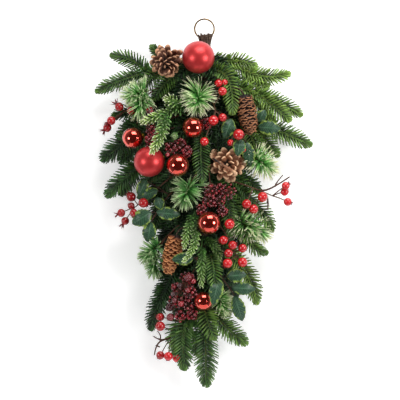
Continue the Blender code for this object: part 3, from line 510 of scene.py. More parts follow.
# %% [markdown]
# ## Finishes
# A finish starts from a Principled shader. What is the same all over the surface goes on the shader's
# own sockets, and nodes give what varies. Colours are written as the hex values that a paint chart
# gives, and one function turns them into the linear values that Blender works in. Every pattern has a
# size in millimetres, so that it stays the same on a small piece and on a large one.

# %% Colour and nodes
MILLIMETRE = 0.001
# The sockets of a Mix node share names, so they go by number: the share, two colours and the result.
SHARE, FIRST, SECOND = 0, 6, 7
MIXED = 2


def linear(code, alpha=1.0):
    """The linear colour of an sRGB hex code."""
    channels = [int(code[i : i + 2], 16) / 255 for i in (1, 3, 5)]
    return (*[c / 12.92 if c <= 0.04045 else ((c + 0.055) / 1.055) ** 2.4 for c in channels], alpha)


def new_finish(name, **sockets):
    """A material whose shader has these values on its own sockets."""
    finish = bpy.data.materials.new(name)
    finish.use_nodes = True
    shader = finish.node_tree.nodes["Principled BSDF"]
    for socket, value in sockets.items():
        shader.inputs[socket.replace("_", " ")].default_value = value
    return finish, finish.node_tree, shader


def add_node(tree, kind, values):
    """Adds a node. A value is a property, a ramp's stops, or a socket's number, hex colour or link."""
    node = tree.nodes.new("ShaderNode" + kind)
    for name, value in values.items():
        if name == "stops":
            while len(node.color_ramp.elements) < len(value):
                node.color_ramp.elements.new(0.5)
            for element, (position, colour) in zip(node.color_ramp.elements, value):
                element.position = position
                element.color = linear(colour)
        elif isinstance(name, str) and hasattr(node, name):
            setattr(node, name, value)
        elif isinstance(value, bpy.types.NodeSocket):
            tree.links.new(value, node.inputs[name])
        elif isinstance(value, str):
            node.inputs[name].default_value = linear(value)
        else:
            node.inputs[name].default_value = value
    return node.outputs


def connect(shader, **sources):
    """Leads the outputs of nodes to the shader's sockets."""
    for socket, source in sources.items():
        shader.id_data.links.new(source, shader.inputs[socket.replace("_", " ")])


print("Mid grey #808080 in linear light:", round(linear("#808080")[0], 3))

# %% [markdown]
# ### Patterns
# Two patterns come back in most finishes. Grain is noise on object coordinates, for anything that is
# worn, dyed or crumbly. Growth is the vector that each vertex of a twig kept, so that a needle can be
# dark at its root and light at its point, and two needles needn't have the same green.

# %% Grain and growth


def grain(tree, size, detail=3.0, stretch=(1, 1, 1)):
    """Noise on object coordinates whose spots are about this many metres across."""
    place = add_node(tree, "TexCoord", {})["Object"]
    scaled = add_node(tree, "Mapping", {"Scale": stretch, "Vector": place})["Vector"]
    return add_node(tree, "TexNoise", {"Scale": 1 / size, "Detail": detail, "Vector": scaled})["Fac"]


def growth_of(tree):
    """The three growth values of the surface: share from root to tip, tint and chance."""
    read = add_node(tree, "Attribute", {"attribute_name": "growth"})["Vector"]
    return add_node(tree, "SeparateXYZ", {"Vector": read})


print("Spots of 1 mm need a noise scale of", 1 / MILLIMETRE)

# %% [markdown]
# ### Metals and wraps
# The ring is mild steel wire plated in antique brass. Florist's binding wire is annealed steel in green
# enamel. The stem and the stalks' ends are wound in brown crepe tape. A ramp over grain gives the brass
# its patina, and a saw wave up the stem gives the tape its turns, which is simpler than winding a real
# strip round it.

# %% Brass, wire and tape
# Plated wire: a warm metal, browner where the plating was darkened and brighter where hands rub it.
antique_brass, tree, shader = new_finish("antique_brass_wire", Metallic=1.0)
stops = ((0.30, "#4c3918"), (0.55, "#80622a"), (0.80, "#b49150"))
patina = add_node(tree, "ValToRGB", {"stops": stops, "Fac": grain(tree, 4 * MILLIMETRE)})["Color"]
dull = add_node(tree, "MapRange", {"To Min": 0.28, "To Max": 0.5, "Value": grain(tree, 1.5 * MILLIMETRE)})[0]
pits = add_node(tree, "Bump", {"Distance": 0.05 * MILLIMETRE, "Height": grain(tree, 0.6 * MILLIMETRE)})[0]
connect(shader, Base_Color=patina, Roughness=dull, Normal=pits)

# Enamel on thin wire: dark green, with a small soft glint.
enamelled_wire, tree, shader = new_finish("green_enamelled_wire", Roughness=0.42, IOR=1.5)
greens = {"data_type": "RGBA", SHARE: grain(tree, 2 * MILLIMETRE), FIRST: "#1f3020", SECOND: "#3d5236"}
connect(shader, Base_Color=add_node(tree, "Mix", greens)[MIXED])

# Crepe paper tape: matt, crinkled along its turns, with a soft step where the edge of each 12 mm turn shows.
TAPE_WIDTH = 12 * MILLIMETRE
crepe_tape, tree, shader = new_finish("brown_crepe_tape", Roughness=0.85, IOR=1.45)
place = add_node(tree, "TexCoord", {})["Object"]
saw = {"bands_direction": "Z", "wave_profile": "SAW", "Scale": 0.31 / TAPE_WIDTH, "Distortion": 1.5}
turns = add_node(tree, "TexWave", {**saw, "Vector": place})["Fac"]
crinkle = grain(tree, 1.2 * MILLIMETRE, 4.0, (1, 1, 0.25))
stops = ((0.30, "#1c130e"), (0.52, "#4a382b"), (0.72, "#9a8068"))
paper = add_node(tree, "ValToRGB", {"stops": stops, "Fac": crinkle})["Color"]
wound = add_node(tree, "Mix", {"data_type": "RGBA", SHARE: turns, FIRST: paper, SECOND: "#3a2a20"})[MIXED]
folds = add_node(tree, "Bump", {"Distance": 0.8 * MILLIMETRE, "Height": crinkle})["Normal"]
connect(shader, Base_Color=wound, Normal=folds)
print("Brass, wire and tape:", antique_brass.name, enamelled_wire.name, crepe_tape.name)

# %% [markdown]
# ### Lacquers
# A shiny bauble is blown plastic with a vacuum-plated skin under red lacquer. A satin one is dipped in
# pearl lacquer. The cap is stamped gold-coloured aluminium. The plated skin is a metal with a clear
# coat, because the lamps have to show white in the coat and the room red in the metal. The satin one is
# only half a metal, with a broad sheen.

# %% Bauble finishes
# Plated plastic under lacquer: a coloured mirror that shows the room in reds and the lamps nearly white. Its
# rim is painted a lighter red, a painted reflection of the bright room round it.
sockets = {"Metallic": 0.93, "Coat_Weight": 1.0, "Coat_Roughness": 0.03}
plated_red, tree, shader = new_finish("red_plated_plastic", **sockets)
# The facing mask paints the rim a lighter red, as painted reflection.
rim = add_node(tree, "LayerWeight", {"Blend": 0.35})["Facing"]
reds = add_node(tree, "Mix", {"data_type": "RGBA", SHARE: rim, FIRST: "#cf3420", SECOND: "#e2604c"})[MIXED]
waver = grain(tree, 9 * MILLIMETRE, 1.0)
smear = add_node(tree, "MapRange", {"To Min": 0.03, "To Max": 0.09, "Value": waver})[0]
connect(shader, Base_Color=reds, Roughness=smear)

# Pearl lacquer: its tiny flakes spread each lamp into a soft glow, and its rim is painted a deeper red, as
# painted shade.
sockets = {"Metallic": 0.55, "Coat_Weight": 0.15, "Coat_Roughness": 0.45}
satin_red, tree, shader = new_finish("red_satin_lacquer", **sockets)
pearl = grain(tree, 0.7 * MILLIMETRE, 2.0)
# The facing mask paints the rim a deeper red, as painted shade.
rim = add_node(tree, "LayerWeight", {"Blend": 0.45})["Facing"]
deep = add_node(tree, "Mix", {"data_type": "RGBA", SHARE: rim, FIRST: "#c8302f", SECOND: "#8c1a26"})[MIXED]
flaked = add_node(tree, "Mix", {"data_type": "RGBA", SHARE: pearl, FIRST: deep, SECOND: "#c03032"})[MIXED]
spread = add_node(tree, "MapRange", {"To Min": 0.34, "To Max": 0.42, "Value": pearl})[0]
flakes = add_node(tree, "Bump", {"Distance": 0.03 * MILLIMETRE, "Height": pearl})["Normal"]
connect(shader, Base_Color=flaked, Roughness=spread, Normal=flakes)

# Stamped aluminium, coloured gold: lighter and darker in patches, with its wear in a finer grain.
gold_cap, tree, shader = new_finish("stamped_gold_aluminium", Metallic=1.0)
golds = {"data_type": "RGBA", SHARE: grain(tree, 2 * MILLIMETRE), FIRST: "#c79a3c", SECOND: "#8f6a22"}
worn = add_node(tree, "MapRange", {"To Min": 0.25, "To Max": 0.45, "Value": grain(tree, 1 * MILLIMETRE)})[0]
connect(shader, Base_Color=add_node(tree, "Mix", golds)[MIXED], Roughness=worn)
print("Bauble finishes:", plated_red.name, satin_red.name, gold_cap.name)

# %% [markdown]
# ### Needles
# The spruce tips are moulded polyethylene: slightly waxy, so they have a soft sheen, and yellower at the
# point of each needle. Each needle is darker at its root, partly its own colour and partly painted shade
# near the stalk. The pine is cut film that was dipped in white, and it goes from bright green to frost
# along each needle. The flocked sprigs have powder blown on, which lies on the outer third in crumbs. All
# three are one recipe with other colours, so one function makes them.

# %% Needle finishes


def needle_finish(name, roots, tips, dip=None, crumbs=None):
    """Needles coloured by their pick's tint, with a dip of frost from a share of their length on."""
    finish, tree, shader = new_finish(name, Roughness=0.42, IOR=1.51)
    along, tint, chance = growth_of(tree)
    dark = add_node(tree, "ValToRGB", {"stops": roots, "Fac": tint})["Color"]
    light = add_node(tree, "ValToRGB", {"stops": tips, "Fac": tint})["Color"]
    # Each needle goes from a dark root to a light tip; the dark root is partly its own colour and partly
    # painted shade.
    root_shade_to_tip = add_node(tree, "MapRange", {"From Max": 0.65, "Value": along})[0]
    body = add_node(tree, "Mix", {"data_type": "RGBA", SHARE: root_shade_to_tip, FIRST: dark, SECOND: light})[MIXED]
    varied = add_node(tree, "MapRange", {"To Min": 0.5, "To Max": 1.6, "Value": chance})[0]
    dyed = {"data_type": "RGBA", "blend_type": "MULTIPLY", SHARE: 1.0, FIRST: body, SECOND: varied}
    body = add_node(tree, "Mix", dyed)[MIXED]
    if dip:
        start, end, frost = dip
        dipped = add_node(tree, "MapRange", {"From Min": start, "From Max": end, "Value": along})[0]
        reach = add_node(tree, "Math", {"operation": "MULTIPLY", 0: dipped, 1: tint})[0]
        crumb = grain(tree, crumbs, 2.0)
        dusted = add_node(tree, "Math", {"operation": "MULTIPLY_ADD", 0: crumb, 1: 0.7, 2: reach})[0]
        amount = add_node(tree, "MapRange", {"From Min": 0.42, "From Max": 1.0, "Value": dusted})[0]
        body = add_node(tree, "Mix", {"data_type": "RGBA", SHARE: amount, FIRST: body, SECOND: frost})[MIXED]
        raised = add_node(tree, "Bump", {"Distance": 0.3 * MILLIMETRE, "Height": dusted})["Normal"]
        connect(shader, Normal=raised)
    connect(shader, Base_Color=body)
    return finish


# Moulded polyethylene: a comb of dark and light green lines, since every needle has its own green and the
# rows behind the stalk are painted darker, as painted shade.
spruce_needles = needle_finish(
    "moulded_spruce",
    ((0.0, "#081207"), (0.35, "#12250d"), (1.0, "#2c4116")),
    ((0.0, "#18321a"), (0.35, "#345a26"), (0.7, "#5c7e32"), (1.0, "#88a648")),
)
# Dipped film: a bright green heart with a ring of frost round it.
frosted_needles = needle_finish(
    "dipped_pine",
    ((0.0, "#1c5426"), (1.0, "#38b43c")),
    ((0.0, "#4e864a"), (1.0, "#9ecc7c")),
    (0.56, 1.08, "#efeec8"),
    0.9 * MILLIMETRE,
)
# Blown powder: pale crumbs on the points, with dark gaps between them.
flocked_needles = needle_finish(
    "flocked_sprig",
    ((0.0, "#0f3010"), (1.0, "#2e5c24")),
    ((0.0, "#467c34"), (0.6, "#8cac54"), (1.0, "#bccc80")),
    (0.70, 0.98, "#eef0d2"),
    0.8 * MILLIMETRE,
)
print("Needle finishes:", spruce_needles.name, frosted_needles.name, flocked_needles.name)

# %% [markdown]
# ### Cone scales
# Cone scales are real dried wood: dark where they were hidden, partly resin and partly painted shade
# between the scales, weathered brown on the face and pale along the worn lip. The ramp runs along each
# scale, and grain streaks it. The four cones come from four trees, so each has its own three browns.

# %% Cone finishes


def cone_wood(name, resin_and_painted_shade, face, lip):
    """Dried cone scales in one shade of brown."""
    finish, tree, shader = new_finish(name, Roughness=0.68, IOR=1.5)
    along, _, chance = growth_of(tree)
    fibre = grain(tree, 1.4 * MILLIMETRE, 4.0)
    # The dark root of each scale is partly resin and partly painted shade where the scales overlap.
    stops = ((0.2, resin_and_painted_shade), (0.6, face), (0.80, face), (0.93, lip))
    wood = add_node(tree, "ValToRGB", {"stops": stops, "Fac": along})["Color"]
    streaks = add_node(tree, "MapRange", {"To Min": 0.55, "To Max": 1.4, "Value": fibre})[0]
    varied = add_node(tree, "MapRange", {"To Min": 0.75, "To Max": 1.25, "Value": chance})[0]
    for shade in (streaks, varied):
        shaded = {"data_type": "RGBA", "blend_type": "MULTIPLY", SHARE: 1.0, FIRST: wood, SECOND: shade}
        wood = add_node(tree, "Mix", shaded)[MIXED]
    ridges = add_node(tree, "Bump", {"Distance": 0.8 * MILLIMETRE, "Height": fibre})["Normal"]
    connect(shader, Base_Color=wood, Normal=ridges)
    return finish


# Weathered wood: grey-brown scales with light edges.
brown_cone = cone_wood("weathered_cone_scales", "#100704", "#5e3522", "#cc9874")
# Bleached wood: the palest cone, nearly straw along its lips.
pale_cone = cone_wood("sun_bleached_cone_scales", "#180b06", "#8c5a3c", "#e2b68e")
# Resinous wood: dark scales whose lips draw thin lines.
dark_cone = cone_wood("resinous_cone_scales", "#0c0503", "#2c150b", "#aa7049")
# Fresh wood: warm reddish brown all over.
warm_cone = cone_wood("warm_brown_cone_scales", "#241009", "#844722", "#d08c56")
print("Cone finishes:", brown_cone.name, pale_cone.name, dark_cone.name, warm_cone.name)

# %% [markdown]
# ### Stalk and leaf
# Stalks are wire in reddish brown paper. Leaves are printed polyester with a waxy coat: teal in the
# middle with a ragged yellow-green margin and fine side veins. The leaf's growth holds its share along
# and across the blade, so the print follows the leaf's shape wherever it is bent.

# %% Stalk and leaf finishes
# Wound paper: fibrous and matt, from tan at the greenery to nearly black on the berry stalks.
paper_stalk, tree, shader = new_finish("brown_paper_stalk", Roughness=0.7, IOR=1.48)
_, tint, _ = growth_of(tree)
fibres = grain(tree, 1.6 * MILLIMETRE, 3.0)
tan = add_node(tree, "Mix", {"data_type": "RGBA", SHARE: fibres, FIRST: "#7c4c28", SECOND: "#cc9058"})[MIXED]
dark = add_node(tree, "Mix", {"data_type": "RGBA", SHARE: tint, FIRST: tan, SECOND: "#321312"})[MIXED]
fuzz = add_node(tree, "Bump", {"Distance": 0.3 * MILLIMETRE, "Height": fibres})["Normal"]
connect(shader, Base_Color=dark, Normal=fuzz)

# Printed polyester with a wax coat: a broad sheen over the teal, and a margin that looks torn on.
VEIN_SPACING = 0.1
printed_leaf, tree, shader = new_finish("waxed_printed_leaf", Roughness=0.38, IOR=1.46)
along, across, _ = growth_of(tree)
ragged = grain(tree, 7 * MILLIMETRE, 3.0)
reach = add_node(tree, "Math", {"operation": "MULTIPLY_ADD", 0: ragged, 1: 1.5, 2: across})[0]
margin = add_node(tree, "MapRange", {"From Min": 1.50, "From Max": 1.74, "Value": reach})[0]
slant = add_node(tree, "Math", {"operation": "MULTIPLY_ADD", 0: across, 1: -0.22, 2: along})[0]
ribs = add_node(tree, "Math", {"operation": "PINGPONG", 0: slant, 1: VEIN_SPACING / 2})[0]
vein = add_node(tree, "MapRange", {"From Max": 0.014, "To Min": 1.0, "To Max": 0.0, "Value": ribs})[0]
midrib = add_node(tree, "MapRange", {"From Max": 0.09, "To Min": 1.0, "To Max": 0.0, "Value": across})[0]
lines = add_node(tree, "Math", {"operation": "MAXIMUM", 0: vein, 1: midrib})[0]
teals = {"data_type": "RGBA", SHARE: grain(tree, 5 * MILLIMETRE), FIRST: "#0c2418", SECOND: "#30583a"}
faint = add_node(tree, "Math", {"operation": "MULTIPLY", 0: lines, 1: 0.45})[0]
teal = add_node(tree, "Mix", teals)[MIXED]
veined = add_node(tree, "Mix", {"data_type": "RGBA", SHARE: faint, FIRST: teal, SECOND: "#5f8c66"})[MIXED]
edged = add_node(tree, "Mix", {"data_type": "RGBA", SHARE: margin, FIRST: veined, SECOND: "#86a044"})[MIXED]
pressed = add_node(tree, "Bump", {"Distance": 0.4 * MILLIMETRE, "Height": lines})["Normal"]
connect(shader, Base_Color=edged, Normal=pressed)
print("Stalk and leaf:", paper_stalk.name, printed_leaf.name)

# %% [markdown]
# ### Berries and beads
# A berry is a foam ball under thick glossy red lacquer, a little mottled. The clusters are burgundy
# beads rolled in sugar. Both have a clear coat over their colour, as a dipped thing has, and the sugar
# is the bright part of a fine grain, because single grains would be far too many shapes. The pale sugar
# specks also stand in for the beads' glints, as painted highlights.

# %% Berry and bead finishes
# Thick lacquer on foam: glossy and mottled, with a round glint for each lamp.
berry_lacquer, tree, shader = new_finish("red_berry_lacquer", IOR=1.45, Coat_Weight=0.6, Coat_Roughness=0.12)
_, tint, chance = growth_of(tree)
mottle = grain(tree, 3 * MILLIMETRE, 3.0)
reds = {"data_type": "RGBA", SHARE: mottle, FIRST: "#8c0b12", SECOND: "#e4272b"}
flesh = add_node(tree, "Mix", reds)[MIXED]
# The chance value varies each berry at random, and the tint paints the berries at the left darker, as
# painted shade.
batch_and_painted_shade = add_node(tree, "Math", {"operation": "MULTIPLY_ADD", 0: chance, 1: 0.3, 2: tint})[0]
dyed = {"data_type": "RGBA", "blend_type": "MULTIPLY", SHARE: 1.0, FIRST: flesh, SECOND: batch_and_painted_shade}
gloss = add_node(tree, "MapRange", {"To Min": 0.16, "To Max": 0.34, "Value": mottle})[0]
dents = add_node(tree, "Bump", {"Distance": 0.25 * MILLIMETRE, "Height": mottle})["Normal"]
connect(shader, Base_Color=add_node(tree, "Mix", dyed)[MIXED], Roughness=gloss, Normal=dents)

# Dried sepals: dark red and papery, so they stay darker than the berry.
dried_calyx, tree, shader = new_finish("dried_calyx", Roughness=0.6, IOR=1.48)
papery = {"data_type": "RGBA", SHARE: grain(tree, 1 * MILLIMETRE), FIRST: "#4a0c10", SECOND: "#8c1c1e"}
connect(shader, Base_Color=add_node(tree, "Mix", papery)[MIXED])

# Sugar on glassy beads: pale rough specks on dark red, which are partly sugar and partly painted glints.
sockets = {"IOR": 1.45, "Coat_Weight": 0.2, "Coat_Roughness": 0.1}
sugared_bead, tree, shader = new_finish("sugared_burgundy_bead", **sockets)
_, _, chance = growth_of(tree)
crystal = grain(tree, 0.9 * MILLIMETRE, 2.0)
sugar_and_painted_glints = add_node(tree, "MapRange", {"From Min": 0.59, "From Max": 0.70, "Value": crystal})[0]
burgundies = {"data_type": "RGBA", SHARE: chance, FIRST: "#1c0306", SECOND: "#941620"}
juice = add_node(tree, "Mix", burgundies)[MIXED]
sugared = add_node(tree, "Mix", {"data_type": "RGBA", SHARE: sugar_and_painted_glints, FIRST: juice, SECOND: "#eeb0b6"})[MIXED]
gloss = add_node(tree, "MapRange", {"To Min": 0.12, "To Max": 0.6, "Value": sugar_and_painted_glints})[0]
grit = add_node(tree, "Bump", {"Distance": 0.4 * MILLIMETRE, "Height": crystal})["Normal"]
connect(shader, Base_Color=sugared, Roughness=gloss, Normal=grit)
print("Berries and beads:", berry_lacquer.name, dried_calyx.name, sugared_bead.name)

# %% [markdown]
# ## The stem
# The stem is a bundle of stalks under tape, thicker in the middle than at its ends. Every pick leaves
# it at some row of the layout, so first comes its smooth line with a radius at each point, and a helper
# that finds a place on it.

# %% Places on the stem
STEM_STEPS = 44
# A stalk runs straight out of the stem for this share of the way to the point that it comes from.
STALK_BOW = 0.45
SPINE = smooth_line([at(c, r, d) for c, r, d, _ in STEM_LINE], [row[3] for row in STEM_LINE], STEM_STEPS)


def spine_point(row):
    """The stem's centre at a row of the layout, and its radius there."""
    height = -row * CELL
    for (a, radius_a), (b, radius_b) in zip(SPINE, SPINE[1:]):
        if b.z <= height <= a.z:
            share = (a.z - height) / (a.z - b.z)
            return a.lerp(b, share), radius_a + (radius_b - radius_a) * share
    return SPINE[-1]


def leave_stem(row, towards, depth=0.8):
    """Where a stalk leaves the stem for a place, at a share of the stem's radius, and its heading there."""
    centre, radius = spine_point(row)
    out = towards - centre
    out.z = 0
    out.normalize()
    return centre + out * radius * depth, out


def stalk_line(row, via, tip, count=36):
    """The line of a stalk that leaves the stem at a row and reaches a tip from the side of via."""
    start, out = leave_stem(row, via)
    return curve_points(start, start + out * (via - start).length * STALK_BOW, via, tip, count)


def cap_direction(row, centre):
    """From a bauble's centre to its cap, which faces the stem."""
    seat, radius = spine_point(row)
    return (seat + FRONT * radius - centre).normalized()


print("The stem is", round(spine_point(115)[1] * 2000), "mm thick at its middle")

# %% [markdown]
# ## Cut ends and wires
# At the top the bundled stalks were cut off one by one, so their ends stand at different heights. Each
# bauble and cone hangs on a wire that leaves the tape beside the stalks. Both are tubes in the stem's
# own mesh, because on the real swag the tape holds them together.

# %% Stem, cut ends and pick wires
STUBS = 26
STUB_RADIUS = 0.0019
STUB_LENGTH = 0.016
STUBS_ACROSS = 0.0112
# How far the cut ends stand above the taped stem.
LOWEST_CUT = -0.001
HIGHEST_CUT = 0.0085
PICK_WIRE = 0.0012
CONE_WIRE = PICK_WIRE * 1.2
# A pick wire starts at this share of the stem's radius, and a cone's wire ends this far inside the cone.
IN_THE_TAPE = 0.6
IN_THE_CONE = 0.002
BAUBLE_CAP_HEIGHT = 0.005


def grow_pick_wire(row, place, seat, away, radius, sunk=0):
    """A wire that leaves the stem for a pick, turns to its seat and ends some way inside it."""
    start, out = leave_stem(row, place, IN_THE_TAPE)
    reach = (seat - start).length
    handle, via = start + out * reach * 0.4, seat + away * reach * 0.35
    line = curve_points(start, handle, via, seat - away * sunk, 10)
    grow_tube(stem, line, [radius] * len(line), 8)


stem = new_shape()
grow_tube(stem, [centre for centre, _ in SPINE], [radius for _, radius in SPINE], 16)
chances = random.Random(3)
top = SPINE[0][0]
for i in range(STUBS):
    angle = GOLDEN_ANGLE * i
    out = Vector((math.cos(angle), math.sin(angle) * 0.8, 0)) * STUBS_ACROSS * math.sqrt(i / STUBS)
    rise = chances.uniform(LOWEST_CUT, HIGHEST_CUT)
    lean = [top + out * (0.75 + 0.5 * k / 4) + UP * (rise + STUB_LENGTH) * (k / 4 - 0.7) for k in range(5)]
    lean[4] = top + out * 1.3 + UP * rise
    radius = STUB_RADIUS * chances.uniform(0.8, 1.15)
    grow_tube(stem, lean, [radius, radius, radius * 0.9, radius, radius * 0.95], 7)
for place, radius, row in BAUBLES.values():
    centre = at(*place)
    inward = cap_direction(row, centre)
    grow_pick_wire(row, centre, centre + inward * (radius + BAUBLE_CAP_HEIGHT), inward, PICK_WIRE)
for stalk, tip, _, _, row in CONES.values():
    stalk, tip = at(*stalk), at(*tip)
    grow_pick_wire(row, stalk, stalk, (stalk - tip).normalized(), CONE_WIRE, IN_THE_CONE)
finish_piece("taped_stem", stem, [crepe_tape], "wrapped_stem")

# %% [markdown]
# ## Ring and binding
# The ring is one wire: a nearly closed circle whose two ends go down the back of the stem, under two
# turns of binding wire. Both lines are worked out point by point, since a circle with legs and a
# flattened helix are easier to write than to draw, and then take a tube like the stalks.

# %% The ring and its binding
RING_RADIUS = 0.0182
RING_WIRE = 0.0015
RING_OPENING = math.radians(12)
RING_STEPS = 64
RING_LEG = 0.0024
RING_LEG_ROWS = (24.5, 33)
SEAT_GAP = 0.00035
BINDING_WIRE = 0.0006
BINDING_SLACK = 0.0012
BINDING_STEPS = 48
BINDING_TURNS = 2
BINDING_LOW_ROW = 31
BINDING_ROWS = 5


def leg_back(row):
    """How far back the centre of each leg of the ring lies at a row."""
    centre, radius = spine_point(row)
    return centre.y + radius + SEAT_GAP + RING_WIRE


ring_centre = -(RING_RADIUS - RING_WIRE)
ring_line = []
for i in range(RING_STEPS + 1):
    angle = -math.pi / 2 - RING_OPENING - (math.tau - 2 * RING_OPENING) * i / RING_STEPS
    bow = Vector((RING_RADIUS * math.cos(angle), 0, ring_centre + RING_RADIUS * math.sin(angle)))
    ring_line.append(bow)
legs = [Vector((RING_LEG, leg_back(row), -row * CELL)) for row in RING_LEG_ROWS]
ring_line = [Vector((-leg.x, leg.y, leg.z)) for leg in reversed(legs)] + ring_line + legs
ring = new_shape()
grow_tube(ring, ring_line, [RING_WIRE] * len(ring_line), 12)
finish_piece("brass_hanging_ring", ring, [antique_brass], "hang_ring")

binding = new_shape()
binding_line = []
for i in range(BINDING_STEPS + 1):
    angle = math.tau * i * BINDING_TURNS / BINDING_STEPS
    row = BINDING_LOW_ROW - BINDING_ROWS * i / BINDING_STEPS
    centre, radius = spine_point(row)
    margin = SEAT_GAP + BINDING_WIRE
    front = centre.y - radius - margin - BINDING_SLACK / 2
    back = leg_back(row) + RING_WIRE + margin + BINDING_SLACK
    side = radius + margin + BINDING_SLACK
    x = centre.x + side * math.cos(angle)
    y = (front + back) / 2 + (back - front) / 2 * math.sin(angle)
    binding_line.append(Vector((x, y, -row * CELL)))
grow_tube(binding, binding_line, [BINDING_WIRE] * len(binding_line), 8)
finish_piece("wound_binding_wire", binding, [enamelled_wire], "binding_wire")

# %% [markdown]
# ## Baubles
# A ball is a round shell with a neck, closed by a crimped metal cap. A sphere with many segments is the
# real shape, so it only needs to be turned until its pole meets the cap. The cap is a circle drawn out
# in steps, and every other corner of its skirt is pushed in to make the crimps.

# %% Make the baubles
CAP_RADIUS = 0.0055
CAP_OVERLAP = 0.0012
SKIRT_FLARE = 1.06
SKIRT_CORNERS = 24
CRIMP_DEPTH = 0.1
# How far each step of the cap rises, and its width as a share of the step before.
CAP_STEPS = ((0.0032, 0.96), (0.001, 0.86), (0.0006, 0.5))


def make_cap(bm, seat, inward):
    """A crimped cap on a ball's neck."""
    growth = bm.verts.layers.float_vector["growth"]
    foot = seat - inward * CAP_OVERLAP
    place = Matrix.Translation(foot) @ section_axes(inward).to_4x4()
    wide = CAP_RADIUS * SKIRT_FLARE
    made = bmesh.ops.create_circle(bm, cap_ends=True, segments=SKIRT_CORNERS, radius=wide, matrix=place)
    skirt = made["verts"]
    end = skirt[0].link_faces[0]
    end.material_index = 1
    for vert in skirt[::2]:
        vert.co = vert.co.lerp(foot, CRIMP_DEPTH)
    for rise, width in CAP_STEPS:
        end = extrude_end(bm, end)
        bmesh.ops.translate(bm, vec=inward * rise, verts=end.verts)
        middle = Matrix.Translation(-end.calc_center_median())
        bmesh.ops.scale(bm, vec=(width, width, width), space=middle, verts=end.verts)
        for vert in end.verts:
            vert[growth] = (1, 0.5, 0.5)
            for face in vert.link_faces:
                face.material_index = 1


for name, (place, radius, row) in BAUBLES.items():
    centre = at(*place)
    inward = cap_direction(row, centre)
    ball = new_shape()
    turn = Matrix.Translation(centre) @ section_axes(inward).to_4x4()
    bmesh.ops.create_uvsphere(ball, u_segments=64, v_segments=40, radius=radius, matrix=turn)
    neck = math.sqrt(radius**2 - CAP_RADIUS**2)
    make_cap(ball, centre + inward * neck, inward)
    satin = name.startswith("matte")
    skin = satin_red if satin else plated_red
    finish_piece(name + "_ball", ball, [skin, gold_cap], name)

# %% [markdown]
# ## Cones
# A cone is a spiral of woody scales round a core, each one golden angle further round. On an open cone
# they stand out and their thick ends show, on a long closed one they lie over each other like tiles.
# One scale starts as a cube that is cut twice each way. Its corners are then drawn into a narrow root,
# a broad thick end and a rounded lip.

# %% A cone scale
# Past this share of its length a scale doesn't widen any more, and past the next one it narrows to its lip.
FULL_WIDTH = 0.85
LIP_START = 0.8
# How much narrower the lip is than the widest place, and how far its corners are rounded off.
LIP_NARROWING = 0.30
LIP_ROUNDING = 0.12


def make_scale(name, root, thick, lip, cup):
    """A scale one unit long and wide, from its root's width, its thickness, its lip's and its cup."""
    bm = new_shape()
    growth = bm.verts.layers.float_vector["growth"]
    bmesh.ops.create_cube(bm, size=1.0)
    bmesh.ops.subdivide_edges(bm, edges=bm.edges, cuts=2, use_grid_fill=True)
    for vert in bm.verts:
        across, up, along = vert.co.x * 2, vert.co.y * 2, vert.co.z + 0.5
        swell = math.sin(min(along, FULL_WIDTH) / FULL_WIDTH * math.pi / 2)
        half = (root + (1 - root) * swell) * (1 - LIP_NARROWING * max(0, along - LIP_START) / 0.2)
        deep = thick * (0.5 + (0.5 + lip) * along**3)
        rounded = along - LIP_ROUNDING * across * across * along
        cupped = up * deep / 2 + cup * along**2 - cup * 0.5 * across**2
        vert.co = Vector((across * half / 2, cupped, rounded))
        vert[growth] = (along, 0, 0)
    return keep_shape(name, bm)


open_scale = make_scale("open_scale", 0.30, 0.040, 0.9, 0.16)
tile_scale = make_scale("tile_scale", 0.45, 0.06, 0.3, 0.12)

# %% [markdown]
# ### The spiral
# Scales grow in a spiral, each one golden angle further round than the last, which is why a cone never
# shows rows. So the scales are copies of one shape, each aimed a little less outwards the nearer it is
# to the tip.

# %% Make the cones
# Each kind's scale, the core's share of the girth, how far a scale may roll in degrees, and how much
# smaller the scales get up to the tip.
CONE_KINDS = {"open": (open_scale, 0.30, 48, 0.35), "long": (tile_scale, 0.62, 8, 0)}
# The share of a cone's length where its last scale starts, and of its core's radius where each one does.
LAST_SCALE = 0.94
SCALE_START = 0.8
# A bit of dry stick lies across the open cone in the middle: its curve, and its radius at nine knots.
LOOSE_STICK = ((8.5, 139, 44), (15, 143, 51), (22, 148, 54), (32, 154, 47))
STICK_KNOTS = (0.0014, 0.0022, 0.0017, 0.0016, 0.0020, 0.0026, 0.0031, 0.0033, 0.0026)


def cone_width(share, kind):
    """How wide a cone is at a share of its length: a long one tapers at both ends, an open one hardly."""
    if kind == "long":
        return max(0.12, math.sin(math.pi * (0.16 + 0.80 * share)) ** 0.7)
    if share < 0.9:
        return 0.45 + 0.55 * math.sin(math.pi * min(1, share * 0.8 + 0.25))
    return 0.5


